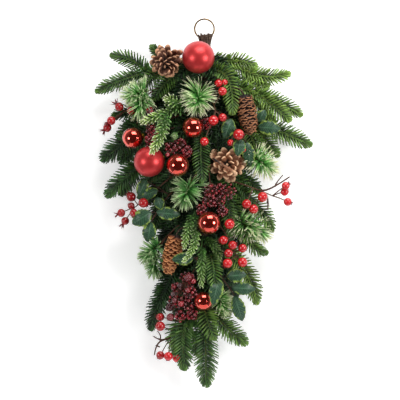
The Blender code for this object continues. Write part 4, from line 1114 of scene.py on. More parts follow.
def dress_cone(name, finish, count, scale_size, lean, chances):
    """A core with a spiral of scales, each turned from lean[0] to lean[1] degrees off the axis."""
    stalk, tip, girth, _, _ = CONES[name]
    stalk, tip = at(*stalk), at(*tip)
    kind = name.split("_")[0]
    shape, core, roll, shrink = CONE_KINDS[kind]
    axes = section_axes((tip - stalk).normalized())
    bm = new_shape()
    shares = [i / 10 for i in range(11)]
    points = [stalk.lerp(tip, share) for share in shares]
    grow_tube(bm, points, [girth * core * cone_width(share, kind) for share in shares], 10)
    length, width, depth = scale_size
    for i in range(count):
        share = (i + 0.5) / count
        angle = GOLDEN_ANGLE * i + chances.uniform(-0.12, 0.12)
        out = axes.col[0] * math.cos(angle) + axes.col[1] * math.sin(angle)
        tilt = math.radians(lean[0] + (lean[1] - lean[0]) * share**1.2 + chances.uniform(-8, 8))
        heading = out * math.sin(tilt) + axes.col[2] * math.cos(tilt)
        wide = cone_width(share, kind)
        base = stalk.lerp(tip, share * LAST_SCALE) + out * girth * core * wide * SCALE_START
        size = (0.72 + 0.28 * wide) * chances.uniform(0.86, 1.06) * (1 - shrink * share)
        twist = Matrix.Rotation(math.radians(chances.uniform(-roll, roll)), 3, heading)
        place = aim(base, heading, twist @ axes.col[2], width * size, length * depth * size, length * size)
        place_copy(bm, shape, place, 0.5, chances.random())
    if name == "open_cone_middle":
        stick = [at(*place) for place in LOOSE_STICK]
        grow_tube(bm, curve_points(*stick, len(STICK_KNOTS) - 1), STICK_KNOTS, 7)
    finish_piece(name + "_scales", bm, [finish], name)


dress_cone("open_cone_top", brown_cone, 48, (0.0300, 0.0150, 0.8), (112, 36), random.Random(11))
dress_cone("open_cone_middle", pale_cone, 32, (0.0365, 0.0185, 0.75), (98, 34), random.Random(12))
dress_cone("long_cone_right", dark_cone, 160, (0.0145, 0.0135, 0.9), (68, 42), random.Random(13))
dress_cone("long_cone_left", warm_cone, 105, (0.0155, 0.0155, 1.0), (58, 34), random.Random(14))

# %% [markdown]
# ## Greenery
# A needle is a small ring drawn up in steps, flattened and swept to one side. A twig carries several
# rows of them round its stalk. On a spruce tip the rows at the sides are the longest and those at the
# front lie closer to the stalk, which gives the flat comb that the real moulded tips have. Needles that
# would run into a bauble or a cone are left out.

# %% Needle shapes


def make_needle(name, sides, rings, section, sweep, finish=0):
    """A needle one unit long, from its rings (height, width), its width each way and its sweep in widths."""
    bm = new_shape()
    growth = bm.verts.layers.float_vector["growth"]
    made = bmesh.ops.create_circle(bm, cap_ends=True, segments=sides, radius=rings[0][1])
    end = made["verts"][0].link_faces[0]
    for (low, narrow), (high, wide) in zip(rings, rings[1:]):
        end = extrude_end(bm, end)
        bmesh.ops.translate(bm, vec=(0, 0, high - low), verts=end.verts)
        bmesh.ops.scale(bm, vec=(wide / narrow, wide / narrow, 1), verts=end.verts)
    bmesh.ops.poke(bm, faces=[end])["verts"][0].co.z = 1
    bmesh.ops.scale(bm, vec=(*section, 1), verts=bm.verts)
    for vert in bm.verts:
        vert[growth] = (vert.co.z, 0, 0)
        vert.co.y += sweep * vert.co.z**2
    return keep_shape(name, bm, finish)


parallel_rings = ((0, 0.7), (0.3, 1.0), (0.78, 0.95), (0.94, 0.7))
spruce_needle = make_needle("spruce_needle", 4, parallel_rings, (0.6, 1), 2.6)
tapered_rings = ((0, 0.8), (0.4, 1.0), (0.75, 0.85), (0.95, 0.4))
pine_needle = make_needle("pine_needle", 3, tapered_rings, (0.8, 1), 1.6)
blunt_rings = ((0, 0.6), (0.35, 0.9), (0.8, 1.0), (0.94, 0.7))
flocked_needle = make_needle("flocked_needle", 4, blunt_rings, (0.8, 1), 1.0)
sepal = make_needle("sepal", 4, ((0, 1.0), (0.5, 0.85)), (1, 0.4), 1.0, 2)

# %% [markdown]
# ### Room for a needle
# On the real swag a needle bends away from a ball. Here it is left out if its end would be inside one,
# and in the rows and bundles also if its middle would. Each bauble is one round spot, and each cone a
# row of five.

# %% Room for a needle
SPOTS_IN_A_CONE = 5
ROUND_SPOTS = [(at(*place), radius * 1.01) for place, radius, _ in BAUBLES.values()]
for stalk, tip, girth, stand_out, _ in CONES.values():
    for i in range(SPOTS_IN_A_CONE):
        share = i / (SPOTS_IN_A_CONE - 1)
        ROUND_SPOTS.append((at(*stalk).lerp(at(*tip), share), girth + stand_out * 0.3))


def is_free(place):
    """Whether a place lies outside every bauble and cone."""
    return all((place - centre).length > radius for centre, radius in ROUND_SPOTS)


print("Round spots that stay free:", len(ROUND_SPOTS))

# %% [markdown]
# ### Twigs
# The first twig of a pick is its main stalk, and the others fork off it, each by a short bend along its
# heading. The stalk is wire in paper, a thin tube that gets thinner. A needle's direction is said as a
# florist would say it: at what angle it stands round the stalk, counted from the front, and how far it
# leans off the stalk's heading.

# %% The lines of the twigs
FORK_BEND = 0.35
FORK_AHEAD = 0.08


def twig_line(spray, index):
    """The line of one twig of a pick: the first leaves the stem, the others leave the first."""
    row, _, twigs = spray
    share, via, tip = twigs[index]
    via, tip = at(*via), at(*tip)
    if share is None:
        return stalk_line(row, via, tip)
    first = twig_line(spray, 0)
    lengths = lengths_along(first)
    start, _ = place_on(first, lengths, lengths[-1] * share)
    ahead, _ = place_on(first, lengths, lengths[-1] * (share + FORK_AHEAD))
    handle = start + (ahead - start).normalized() * (via - start).length * FORK_BEND
    return curve_points(start, handle, via, tip)


def stalk_of(bm, line, radii, tint, finish=1, sides=6, steps=12):
    """The stalk along a twig's line, wrapped in paper unless it has another finish."""
    thick, thin = radii
    lengths = lengths_along(line)
    points = [place_on(line, lengths, lengths[-1] * i / steps)[0] for i in range(steps + 1)]
    radii = [thick + (thin - thick) * i / steps for i in range(steps + 1)]
    grow_tube(bm, points, radii, sides, tint, finish)


def lean_off(heading, angle, tilt, flatness=1.0):
    """The direction at a tilt off a heading, and at an angle round it from the front."""
    axes = section_axes(heading)
    out = axes.col[1] * math.cos(angle) * flatness + axes.col[0] * math.sin(angle)
    return heading * math.cos(tilt) + out * math.sin(tilt)


lowest = twig_line(SPRUCE_BOUGHS["spruce_bough_bottom"], 0)
print("The lowest bough is", round(lengths_along(lowest)[-1] * 1000), "mm long")

# %% [markdown]
# ### The rounded end
# The mould of a spruce tip has a round end. A Boolean could cut thousands of needles to that shape, but
# it is slow and leaves stumps. So each needle near the end only gets the length that it may have inside
# a dome as wide as the twig with its needles, and keeps its point.

# %% The dome of a spruce tip
# The dome at the end of a twig, in needle lengths: its radius, its length, and how far it stands past
# the twig.
DOME_RADIUS = 0.93
DOME_LENGTH = 2.2
DOME_PAST = 0.34


def reach_in_dome(ahead, tilt, reach, length):
    """The reach of a needle that starts this far past the dome's base and must end inside the dome."""
    if ahead + reach * math.cos(tilt) <= 0:
        return reach
    radius = length * DOME_RADIUS
    start = ahead * DOME_RADIUS / DOME_LENGTH
    slope = math.cos(tilt) * DOME_RADIUS / DOME_LENGTH
    steepness = slope**2 + math.sin(tilt) ** 2
    surface = math.sqrt((start * slope) ** 2 + steepness * (radius**2 - start**2)) - start * slope
    return min(reach, surface / steepness)


print("A dome over needles of 20 mm is", round(20 * DOME_RADIUS * 2), "mm across")

# %% [markdown]
# ### Spruce tips
# A spruce tip is moulded with its needles in rows. The longest stand at the sides, shorter ones lie in
# front and behind. Towards the end they turn forward, and a bud closes the tip. So a row is a line of
# a small table, and the needles are set along the twig step by step.

# %% Needles in rows
# Rows of needles round a spruce twig: the angle from the front, the length, the rise off the stalk in
# degrees, where in each step the row's needle stands, and how much lighter its green is than the pick's,
# which is painted light and shade: the rows behind the stalk are painted much darker, as shade.
SPRUCE_ROWS = (
    (-86, 1.00, 71, 0.00, 0.05),
    (86, 1.00, 71, 0.50, 0.05),
    (-54, 0.86, 74, 0.06, 0.05),
    (54, 0.86, 74, 0.56, 0.05),
    (-24, 0.36, 52, 0.30, -0.05),
    (24, 0.36, 52, 0.80, -0.05),
    (-118, 0.60, 72, 0.50, -0.80),
    (118, 0.60, 72, 0.00, -0.80),
)
SPRUCE_WIDTH = 0.00138
# The rise of a needle gets smaller by this share of itself up to the tip, most of it in the last part.
TURN_FORWARD = 0.60
TURN_POWER = 6
# The bud's needles start this far before the twig's end, and the rows stop there. Their last step may reach
# further, to this far before the end.
BUD_LENGTH = 0.004
LAST_NEEDLE = 0.001
BUD_NEEDLES = 11
BUD_FLATNESS = 0.4


def dress_spruce(bm, line, tint, chances, bare, length, step):
    """Covers a twig with rows of needles past its bare share, and closes it with a bud."""
    lengths = lengths_along(line)
    whole = lengths[-1]
    dome_base = whole + length * (DOME_PAST - DOME_LENGTH)
    distance = whole * bare
    while distance < whole - BUD_LENGTH:
        for around, long, rise, ahead, light in SPRUCE_ROWS:
            spot = min(distance + step * ahead, whole - LAST_NEEDLE)
            base, heading = place_on(line, lengths, spot)
            share = (spot / whole - bare) / (1 - bare)
            angle = math.radians(around + chances.uniform(-7, 7))
            tilt = math.radians(rise * (1 - TURN_FORWARD * share**TURN_POWER) + chances.uniform(-3.5, 3.5))
            aimed = lean_off(heading, angle, tilt)
            reach = length * long * (0.75 + 0.25 * min(share * 5, 1))
            reach = reach_in_dome(spot - dome_base, tilt, reach, length) * chances.uniform(0.94, 1.04)
            if is_free(base + aimed * reach) and is_free(base + aimed * reach * 0.6):
                place = aim(base, aimed, heading, SPRUCE_WIDTH, SPRUCE_WIDTH, reach)
                # Each row's lighter or darker green is painted light and shade, and the needles near a
                # twig's start are painted darker, as shade near the stalk.
                tint_with_painted_light_and_shade = tint + light - 0.2 * max(0, 1 - 3 * share) + chances.uniform(-0.15, 0.15)
                place_copy(bm, spruce_needle, place, tint_with_painted_light_and_shade, chances.random())
        distance += step
    for i in range(BUD_NEEDLES):
        tilt = math.radians(4 + 5 * i)
        aimed = lean_off(heading, GOLDEN_ANGLE * i, tilt, BUD_FLATNESS)
        reach = reach_in_dome(whole - BUD_LENGTH - dome_base, tilt, length, length)
        reach *= chances.uniform(0.95, 1.03)
        if is_free(line[-1] + aimed * reach):
            base = line[-1] - heading * BUD_LENGTH
            place = aim(base, aimed, heading, SPRUCE_WIDTH, SPRUCE_WIDTH, reach)
            place_copy(bm, spruce_needle, place, tint + 0.15, chances.random())


trial = new_shape()
dress_spruce(trial, lowest, 0.5, random.Random(0), 0.05, 0.02, 0.005)
print("The lowest bough's first twig takes", len(trial.faces), "faces of needles")
trial.free()

# %% [markdown]
# ### The boughs
# A bough is one wired branch with its side twigs. Its mesh is joined from one small mesh for each twig,
# because adding to a small mesh is much quicker than adding to a large one.

# %% Make the spruce boughs
SPRUCE_STALK = (0.0020, 0.0010)
SPRUCE_STEP = 0.0053
# The share without needles of a bough's first twig, and of its side twigs.
BARE_FIRST = 0.05
BARE_SIDE = 0.02
# How long the needles of a bough are, where they aren't of the usual length.
USUAL_NEEDLE = 0.0205
NEEDLE_LENGTHS = {
    "spruce_bough_bottom": 0.0275,
    "spruce_bough_bottom_right": 0.0255,
    "spruce_bough_right_upper": 0.0240,
    "spruce_bough_right_wide": 0.0225,
    "spruce_bough_right_drop": 0.0225,
    "spruce_bough_right_base": 0.0240,
    "spruce_bough_left_base": 0.0240,
    "spruce_bough_left_upper": 0.0300,
    "spruce_bough_left_lower": 0.0270,
}
for number, (name, spray) in enumerate(SPRUCE_BOUGHS.items()):
    chances = random.Random(100 + number)
    _, tint, twigs = spray
    length = NEEDLE_LENGTHS.get(name, USUAL_NEEDLE)
    bough = new_shape()
    for i in range(len(twigs)):
        line = twig_line(spray, i)
        bare = BARE_FIRST if i == 0 else BARE_SIDE
        twig = new_shape()
        stalk_of(twig, line, SPRUCE_STALK, 0.3)
        dress_spruce(twig, line, tint, chances, bare, length, SPRUCE_STEP)
        add_shape(bough, twig)
    finish_piece(name + "_tips", bough, [spruce_needles, paper_stalk], name)

# %% [markdown]
# ### Frosted pine
# A pine tuft has long thin needles that burst from the end of a short stalk in bundles of three: the
# lowest bundles stand straight out or lean back, the last point ahead. They are spaced by the golden
# angle, so that no two lie on the same line.

# %% Make the pine tufts
PINE_STALK = (0.0019, 0.0014)
PINE_WIDTH = 0.00100
IN_A_BUNDLE = 3
STRAY = 0.13
TUFT_DEPTH = 0.028
# How far the lowest bundles lean off the stalk's heading, and the last one, in degrees.
LOWEST_LEAN = 104
LAST_LEAN = 22


def dress_tuft(bm, line, tint, chances, count, length):
    """A burst of long needles over the end of a stalk."""
    lengths = lengths_along(line)
    whole = lengths[-1]
    bare = 1 - TUFT_DEPTH / whole
    for i in range(count):
        share = (i + chances.random()) / count
        base, heading = place_on(line, lengths, whole * (bare + (1 - bare) * share))
        angle = GOLDEN_ANGLE * i + chances.uniform(-0.3, 0.3)
        lean = LOWEST_LEAN - (LOWEST_LEAN - LAST_LEAN) * share**1.3
        bundle = lean_off(heading, angle, math.radians(lean + chances.uniform(-9, 9)))
        for _ in range(IN_A_BUNDLE):
            stray = Vector([chances.uniform(-1, 1) for _ in range(3)])
            aimed = (bundle + stray * STRAY).normalized()
            reach = length * chances.uniform(0.78, 1.0) * (1 - 0.22 * share)
            if is_free(base + aimed * reach) and is_free(base + aimed * reach * 0.5):
                place = aim(base, aimed, heading, PINE_WIDTH, PINE_WIDTH, reach)
                place_copy(bm, pine_needle, place, tint, chances.random())


# How many bundles stand on each stalk of a tuft, and how long their needles are.
TUFTS = {
    "frosted_pine_top": (100, 0.044),
    "frosted_pine_left_top": (75, 0.036),
    "frosted_pine_right_top": (78, 0.040),
    "frosted_pine_middle": (78, 0.040),
    "frosted_pine_left_low": (80, 0.032),
    "frosted_pine_right_low": (62, 0.040),
    "frosted_pine_base": (100, 0.030),
}
for number, (name, spray) in enumerate(FROSTED_PINES.items()):
    chances = random.Random(200 + number)
    _, tint, twigs = spray
    tuft = new_shape()
    for i in range(len(twigs)):
        line = twig_line(spray, i)
        twig = new_shape()
        stalk_of(twig, line, PINE_STALK, 0.85)
        dress_tuft(twig, line, tint, chances, *TUFTS[name])
        add_shape(tuft, twig)
    finish_piece(name + "_tuft", tuft, [frosted_needles, paper_stalk], name)

# %% [markdown]
# ### Flocked sprigs
# These are short blunt needles all round a thick stalk, closer together than on the spruce, so that the
# powder on them reads as one pale tip.

# %% Make the flocked sprigs
FLOCKED_STALK = (0.0016, 0.0012)
FLOCKED_WIDTH = 0.00125
FLOCKED_LENGTH = 0.0128
LONG_FLOCKED_LENGTH = 0.0172
BUD_REACH = 0.0090
BUD_BOW = 0.02
BUD_TINT = 0.3
# The share without needles of a sprig's first twig, of its side twigs and of the bud's stalk.
BARE_SPRIG = 0.3
BARE_SIDE_SPRIG = 0.12
BARE_BUD = 0.80
# How far apart the needles start along the stalk, on a sprig and on the bud.
FLOCKED_SPACING = 0.00084
BUD_SPACING = 0.00020


def flocked_twig(line, tint, chances, bare, length, spacing):
    """One flocked twig, with needles from a share of its line on."""
    twig = new_shape()
    stalk_of(twig, line, FLOCKED_STALK, 0.1, finish=0)
    lengths = lengths_along(line)
    count = round(lengths[-1] * (1 - bare) / spacing)
    for k in range(count):
        share = (k + 0.5) / count
        base, heading = place_on(line, lengths, lengths[-1] * (bare + (1 - bare) * share))
        tilt = math.radians(62 - 36 * share**4 + chances.uniform(-8, 8))
        aimed = lean_off(heading, GOLDEN_ANGLE * k, tilt)
        reach = length * (1 - 0.3 * share**5) * chances.uniform(0.8, 1.05)
        if is_free(base + aimed * reach):
            place = aim(base, aimed, heading, FLOCKED_WIDTH, FLOCKED_WIDTH, reach)
            place_copy(twig, flocked_needle, place, tint * share, chances.random())
    return twig


for number, (name, spray) in enumerate(FLOCKED_SPRIGS.items()):
    chances = random.Random(300 + number)
    _, tint, twigs = spray
    is_top = name == "flocked_sprig_top"
    length = LONG_FLOCKED_LENGTH if is_top else FLOCKED_LENGTH
    sprig = new_shape()
    for i in range(len(twigs)):
        bare = BARE_SPRIG if i == 0 else BARE_SIDE_SPRIG
        add_shape(sprig, flocked_twig(twig_line(spray, i), tint, chances, bare, length, FLOCKED_SPACING))
    if is_top:
        row, via, tip = FLOCKED_BUD
        start, out = leave_stem(row, at(*via))
        line = curve_points(start, start + out * BUD_BOW, at(*via), at(*tip))
        add_shape(sprig, flocked_twig(line, BUD_TINT, chances, BARE_BUD, BUD_REACH, BUD_SPACING))
    finish_piece(name + "_sprig", sprig, [flocked_needles, paper_stalk], name)

# %% [markdown]
# ## Leaves
# A printed leaf is one thin blade with a fold along its midrib, a waved margin and an arch along its
# length. It starts as a grid. Each vertex is moved to its share of the outline, and the sheet then gets
# its thickness.

# %% A leaf
LEAF_COLUMNS = 8
LEAF_ROWS = 14
LEAF_THICKNESS = 0.0006
# Shares of the width: how high the margin waves, how deep the fold is and how far the teeth stand out.
LEAF_WAVE = 0.09
LEAF_FOLD = 0.22
LEAF_TEETH = 0.07
# Shares of the length: how high the blade arches, and how far its tip droops.
LEAF_ARCH = 0.16
LEAF_DROOP = 0.05


def make_leaf(bm, base, tip, width, chances):
    """One arched blade from base to tip."""
    growth = bm.verts.layers.float_vector["growth"]
    along = tip - base
    side = along.cross(FRONT).normalized()
    face = side.cross(along).normalized()
    ripple = chances.uniform(0, math.tau)
    sheet = bmesh.ops.create_grid(bm, x_segments=LEAF_COLUMNS, y_segments=LEAF_ROWS, size=0.5)["verts"]
    for vert in sheet:
        across, share = vert.co.x * 2, vert.co.y + 0.5
        outline = max(0.02, math.sin(math.pi * share**0.92) ** 0.72)
        half = width / 2 * outline
        wave = LEAF_WAVE * width * math.sin(share * 17 + ripple + across) * abs(across) ** 3 * outline
        fold = LEAF_FOLD * half * abs(across)
        arch = LEAF_ARCH * along.length * math.sin(math.pi * share) - LEAF_DROOP * along.length * share**3
        teeth = 1 + LEAF_TEETH * math.sin(share * 38 + ripple) * abs(across) ** 4
        vert.co = base + along * share + side * across * half * teeth + face * (arch + wave - fold)
        vert[growth] = (share, abs(across), 0.5)
    faces = {face for vert in sheet for face in vert.link_faces}
    edges = {edge for vert in sheet for edge in vert.link_edges}
    bmesh.ops.solidify(bm, geom=[*faces, *edges, *sheet], thickness=LEAF_THICKNESS)


leaf = new_shape()
make_leaf(leaf, at(0, 0, 0), at(0, 25, 0), 14 * CELL, random.Random(0))
print("A leaf has", len(leaf.faces), "faces")
leaf.free()

# %% [markdown]
# ### Leafy stems
# Each leaf is wired to the stalk by its own short stem. That stem runs from the nearest place on the
# stalk to the leaf's base. Berries and beads are wired to their stalks in the same way, so both helpers
# serve them too.

# %% Side stalks


def nearest_on(line, place):
    """The place nearest to another on a stalk."""
    return min(line, key=lambda spot: (spot - place).length)


def side_stalk(bm, start, via, end, radii, tint=0.85, steps=5):
    """A thin stalk from one place past another to a third."""
    thick, thin = radii
    line = curve_points(start, start.lerp(via, 0.7), via, end, steps)
    grow_tube(bm, line, [thick + (thin - thick) * i / steps for i in range(steps + 1)], 6, tint, 1)


trial = at(10, 330, 20)
spot = nearest_on(lowest, trial)
print("A wire from there to the lowest bough is", round((spot - trial).length * 1000), "mm long")

# %% [markdown]
# On the leafy stems the short stems go in before the blades, as they do on the real ones, where the
# blade is glued over its wire.

# %% Make the leafy stems
MAIN_STALK_STEPS = 24
LEAFY_STALK = (0.0014, 0.0010)
LEAF_STEM = (0.0008, 0.0006)
LEAF_STEM_LENGTH = 0.008
for number, (name, (row, via, end, leaves)) in enumerate(LEAFY_STEMS.items()):
    chances = random.Random(400 + number)
    spray = new_shape()
    line = stalk_line(row, at(*via), at(*end), MAIN_STALK_STEPS)
    stalk_of(spray, line, LEAFY_STALK, 0.9)
    for base, tip, _ in leaves:
        base, tip = at(*base), at(*tip)
        root = nearest_on(line, base - (tip - base).normalized() * LEAF_STEM_LENGTH)
        side_stalk(spray, root, base.lerp(root, 0.4), base.lerp(tip, 0.05), LEAF_STEM, 0.95)
    for base, tip, width in leaves:
        make_leaf(spray, at(*base), at(*tip), width * CELL, chances)
    finish_piece(name + "_leaves", spray, [printed_leaf, paper_stalk], name)

# %% [markdown]
# ## Berries
# A berry is a slightly squat ball on a wire stalk, with a star of dried sepals at its far end. The ball
# is a sphere whose far end is pressed in, where the sepals stand.

# %% A berry
BERRY_STEM = (0.0013, 0.0010)
BERRY_STEM_BOW = 0.0015
# Past this height the end of a berry is pressed in, by this many times what stands over it.
PRESSED_FROM = 0.9
PRESSED_IN = 1.6

ball = new_shape()
bmesh.ops.create_uvsphere(ball, u_segments=20, v_segments=14, radius=1.0)
for vert in ball.verts:
    if vert.co.z > PRESSED_FROM:
        vert.co.z -= (vert.co.z - PRESSED_FROM) * PRESSED_IN
berry_ball = keep_shape("berry_ball", ball)


def berry_place(bm, root, centre, radius):
    """Wires a berry to its spray, and returns the matrix of its ball and the way that its far end points."""
    side_stalk(bm, root, root.lerp(centre, 0.5) + UP * BERRY_STEM_BOW, centre, BERRY_STEM)
    along = centre - root
    along.y = along.y * 0.2 + radius * 0.4
    along.normalize()
    return aim(centre, along, UP, radius, radius, radius), along


# %% [markdown]
# ### Berry sprays
# A spray has bare twigs too, bent wire in brown paper with a short side twig each. All the wires go in
# before the balls, and six sepals stand round the far end of each berry.

# %% Make the berry sprays
BERRY_STALK = (0.0016, 0.0011)
# The berries' wires leave the spray's stalk past this step of its line.
FORKS_FROM = 8
BARE_TWIG = (0.0023, 0.0013)
SIDE_TWIG = (0.0016, 0.0010)
SIDE_TWIG_RISE = 0.009
# The berries at the left are painted darker, as painted shade, and the outermost of them kept long sepals.
SHADED_BERRY = 0.5
BRIGHT_BERRY = 0.9
SHADED_LEFT_OF = -40
LONG_LEFT_OF = -76
SEPALS = 6
# Shares of the berry's radius: how far up the sepals stand, how far off its axis, and their width.
SEPAL_HEIGHT = 0.80
SEPAL_SPREAD = 0.12
SEPAL_WIDTH = 0.21
LONG_SEPALS = (1.3, 1.7)
SHORT_SEPALS = (0.4, 0.8)

for number, (name, (row, via, end, berries, twigs)) in enumerate(BERRY_SPRAYS.items()):
    chances = random.Random(500 + number)
    spray = new_shape()
    line = stalk_line(row, at(*via), at(*end), MAIN_STALK_STEPS)
    stalk_of(spray, line, BERRY_STALK, 0.85)
    for start, past, tip in twigs:
        root, past, tip = nearest_on(line, at(*start)), at(*past), at(*tip)
        side_stalk(spray, root, past, tip, BARE_TWIG, 0.9, 10)
        fork, knot = past.lerp(tip, 0.3), root.lerp(tip, 0.55)
        side_stalk(spray, fork, knot, knot.lerp(tip, 0.5) + UP * SIDE_TWIG_RISE, SIDE_TWIG, 0.9)
    places = []
    for place, size in berries:
        centre = at(*place)
        places.append(berry_place(spray, nearest_on(line[FORKS_FROM:], centre), centre, size * CELL))
    for (matrix, along), (place, size) in zip(places, berries):
        radius = size * CELL
        brightness = SHADED_BERRY if place[0] < SHADED_LEFT_OF else BRIGHT_BERRY
        place_copy(spray, berry_ball, matrix, brightness, chances.random())
        axes = section_axes(along)
        shortest, longest = LONG_SEPALS if place[0] < LONG_LEFT_OF else SHORT_SEPALS
        reach = radius * chances.uniform(shortest, longest)
        for k in range(SEPALS):
            angle = math.tau * k / SEPALS + chances.uniform(-0.2, 0.2)
            out = axes.col[0] * math.cos(angle) + axes.col[1] * math.sin(angle)
            foot = at(*place) + along * radius * SEPAL_HEIGHT + out * radius * SEPAL_SPREAD
            flare = along * 0.9 + out * chances.uniform(0.3, 0.9)
            wide = radius * SEPAL_WIDTH
            place_copy(spray, sepal, aim(foot, flare, out, wide, wide, reach), 0.5, 0.5)
    finish_piece(name + "_berries", spray, [berry_lacquer, paper_stalk, dried_calyx], name)

# %% [markdown]
# ## Beads
# A cluster is made of lumps of small beads, each on its own short wire. The beads of a lump are spread
# over a ball with the golden angle, and some stand further out than others.

# %% Make the bead clusters
bead = new_shape()
bmesh.ops.create_icosphere(bead, subdivisions=2, radius=1.0)
bead_shape = keep_shape("bead", bead)
BEADS_IN_A_LUMP = 20
CLUSTER_STALK = (0.0015, 0.0010)
# The steps of the cluster's stalk between which the wires of the lumps leave it.
LUMPS_FROM = 10
LUMPS_TO = 20
LUMP_STEM = (0.0010, 0.0008)
BEAD_WIRE = (0.0006, 0.0006)
# The smallest and largest radius of a bead, in the middle cluster and in the others.
FINE_BEADS = (0.0020, 0.0029)
USUAL_BEADS = (0.0022, 0.0034)
# Larger beads, each on its own stalk: the place and the radius in cells.
BIG_BEADS = {
    "bead_cluster_upper": (((-36.5, 135, 43), 2.2),),
    "bead_cluster_base": (
        ((-31, 274, 32), 2.7),
        ((-30, 280, 32), 2.8),
        ((-23.5, 283.5, 34), 2.8),
        ((-16.5, 270, 37), 2.7),
        ((-16, 257, 36), 4.2),
        ((-24.5, 265, 33), 2.8),
        ((-11, 261, 35), 2.8),
        ((-34.5, 287, 22), 4.3),
        ((-34, 297, 23), 4.1),
    ),
}


def spread_on_ball(count):
    """Evenly spread directions."""
    for i in range(count):
        height = 1 - 2 * (i + 0.5) / count
        flat = math.sqrt(1 - height * height)
        yield Vector((flat * math.cos(GOLDEN_ANGLE * i), flat * math.sin(GOLDEN_ANGLE * i), height))


for number, (name, (row, via, lumps)) in enumerate(BEAD_CLUSTERS.items()):
    chances = random.Random(600 + number)
    smallest, largest = FINE_BEADS if name == "bead_cluster_middle" else USUAL_BEADS
    cluster = new_shape()
    line = stalk_line(row, at(*via), at(*lumps[0][0]), MAIN_STALK_STEPS)
    stalk_of(cluster, line, CLUSTER_STALK, 0.85)
    for place, _ in lumps[1:]:
        centre = at(*place)
        root = nearest_on(line[LUMPS_FROM:LUMPS_TO], centre)
        side_stalk(cluster, root, root.lerp(centre, 0.6), centre, LUMP_STEM)
    for place, size in lumps:
        centre = at(*place)
        lump = new_shape()
        for way in spread_on_ball(BEADS_IN_A_LUMP):
            swing = Vector((way.x, way.y * 0.8, way.z)) * chances.uniform(0.8, 1.3)
            spot = centre + swing * CELL * size
            side_stalk(lump, centre, centre.lerp(spot, 0.5), spot, BEAD_WIRE, steps=2)
            matrix = Matrix.Translation(spot) @ Matrix.Scale(chances.uniform(smallest, largest), 4)
            place_copy(lump, bead_shape, matrix, 0.5, chances.random())
        add_shape(cluster, lump)
    for place, size in BIG_BEADS.get(name, ()):
        centre = at(*place)
        root = nearest_on(line[LUMPS_FROM:], centre)
        side_stalk(cluster, root, root.lerp(centre, 0.6), centre, LUMP_STEM)
        matrix = Matrix.Translation(centre) @ Matrix.Scale(size * CELL, 4)
        place_copy(cluster, bead_shape, matrix, 0.5, chances.random())
    finish_piece(name + "_beads", cluster, [sugared_bead, paper_stalk], name)

# %% [markdown]
# ## Inner greenery
# Between the picks that show from afar, a florist fills the middle with short tips until the stem
# can't be seen. They are painted dark, as painted shade in the middle of the swag. They leave the stem
# to both sides and to the front, and stay within the outline of the picks.

# %% Where the middle is full
# How far the middle of the swag is full, at some rows of the layout: row, left and right column.
FULLNESS = (
    (44, -34, 30),
    (64, -54, 46),
    (110, -62, 54),
    (150, -60, 48),
    (190, -56, 46),
    (230, -50, 38),
    (262, -40, 34),
    (290, -33, 26),
    (316, -24, 14),
)


def fullness(row):
    """The left and right columns that the greenery fills at a row."""
    for (a, left_a, right_a), (b, left_b, right_b) in zip(FULLNESS, FULLNESS[1:]):
        if row <= b:
            share = max(0, (row - a) / (b - a))
            return left_a + (left_b - left_a) * share, right_a + (right_b - right_a) * share
    return FULLNESS[-1][1:]


def inner_line(row, side, depth, chances):
    """The line of a short tip that leaves the stem to one side and droops a little."""
    left, right = fullness(row + 14)
    reach = (right if side > 0 else left) * abs(side) * chances.uniform(0.85, 1.05)
    drop = 8 + abs(reach) * 0.42 * chances.uniform(0.6, 1.2)
    tip = at(reach, row + drop, depth)
    via = at(reach * 0.55, row + drop * 0.25, depth * 0.6 + 8)
    return stalk_line(row, via, tip)


print("At row 150 the greenery is", round(sum(map(abs, fullness(150))) * CELL * 1000), "mm wide")

# %% [markdown]
# ### The inner tips
# The tips leave the stem in turns of four tiers: the ones furthest back reach furthest out, and the ones
# in front are short. They are dressed as spruce, painted darker than the picks as shade, and joined to four
# pieces.

# %% Make the inner tips
# A tier: rows below the turn's start, share of the fullness, least and most depth.
TIERS = ((0, 0.95, 3, 7), (3, 0.75, 9, 14), (6, 0.5, 13, 18), (9, 0.2, 16, 20))
ROWS_A_TURN = 12
# The rows where the four pieces start, and the row where the last one ends.
PIECE_ROWS = (38, 98, 158, 218, 290)
INNER_STALK = (0.0015, 0.0010)
INNER_NEEDLE = 0.0210
INNER_STEP = 0.0060
INNER_BARE = 0.1

for number, (first_row, last_row) in enumerate(zip(PIECE_ROWS, PIECE_ROWS[1:])):
    chances = random.Random(700 + number)
    fill = new_shape()
    lines = []
    for row in range(first_row, last_row, ROWS_A_TURN):
        for side in (-1, 1):
            for below, share, least, most in TIERS:
                depth = chances.uniform(least, most)
                lines.append(inner_line(row + below, side * share, depth, chances))
    for line in lines:
        twig = new_shape()
        stalk_of(twig, line, INNER_STALK, 0.95, sides=5, steps=6)
        # The low tints paint these tips dark, as painted shade inside the swag.
        tint = chances.uniform(-0.15, 0.25)
        dress_spruce(twig, line, tint, chances, INNER_BARE, INNER_NEEDLE, INNER_STEP)
        add_shape(fill, twig)
    finish_piece(f"inner_tips_{number + 1}", fill, [spruce_needles, paper_stalk])

# %% [markdown]
# ## Wall and floor
# The swag hangs close in front of a white wall, which takes its soft shadow. The wall glows a little,
# a painted light that lifts its shadow and lights the swag from behind, and it is seen only from its
# front, so that the swag can also be looked at from behind. A pale floor below throws some light back up.

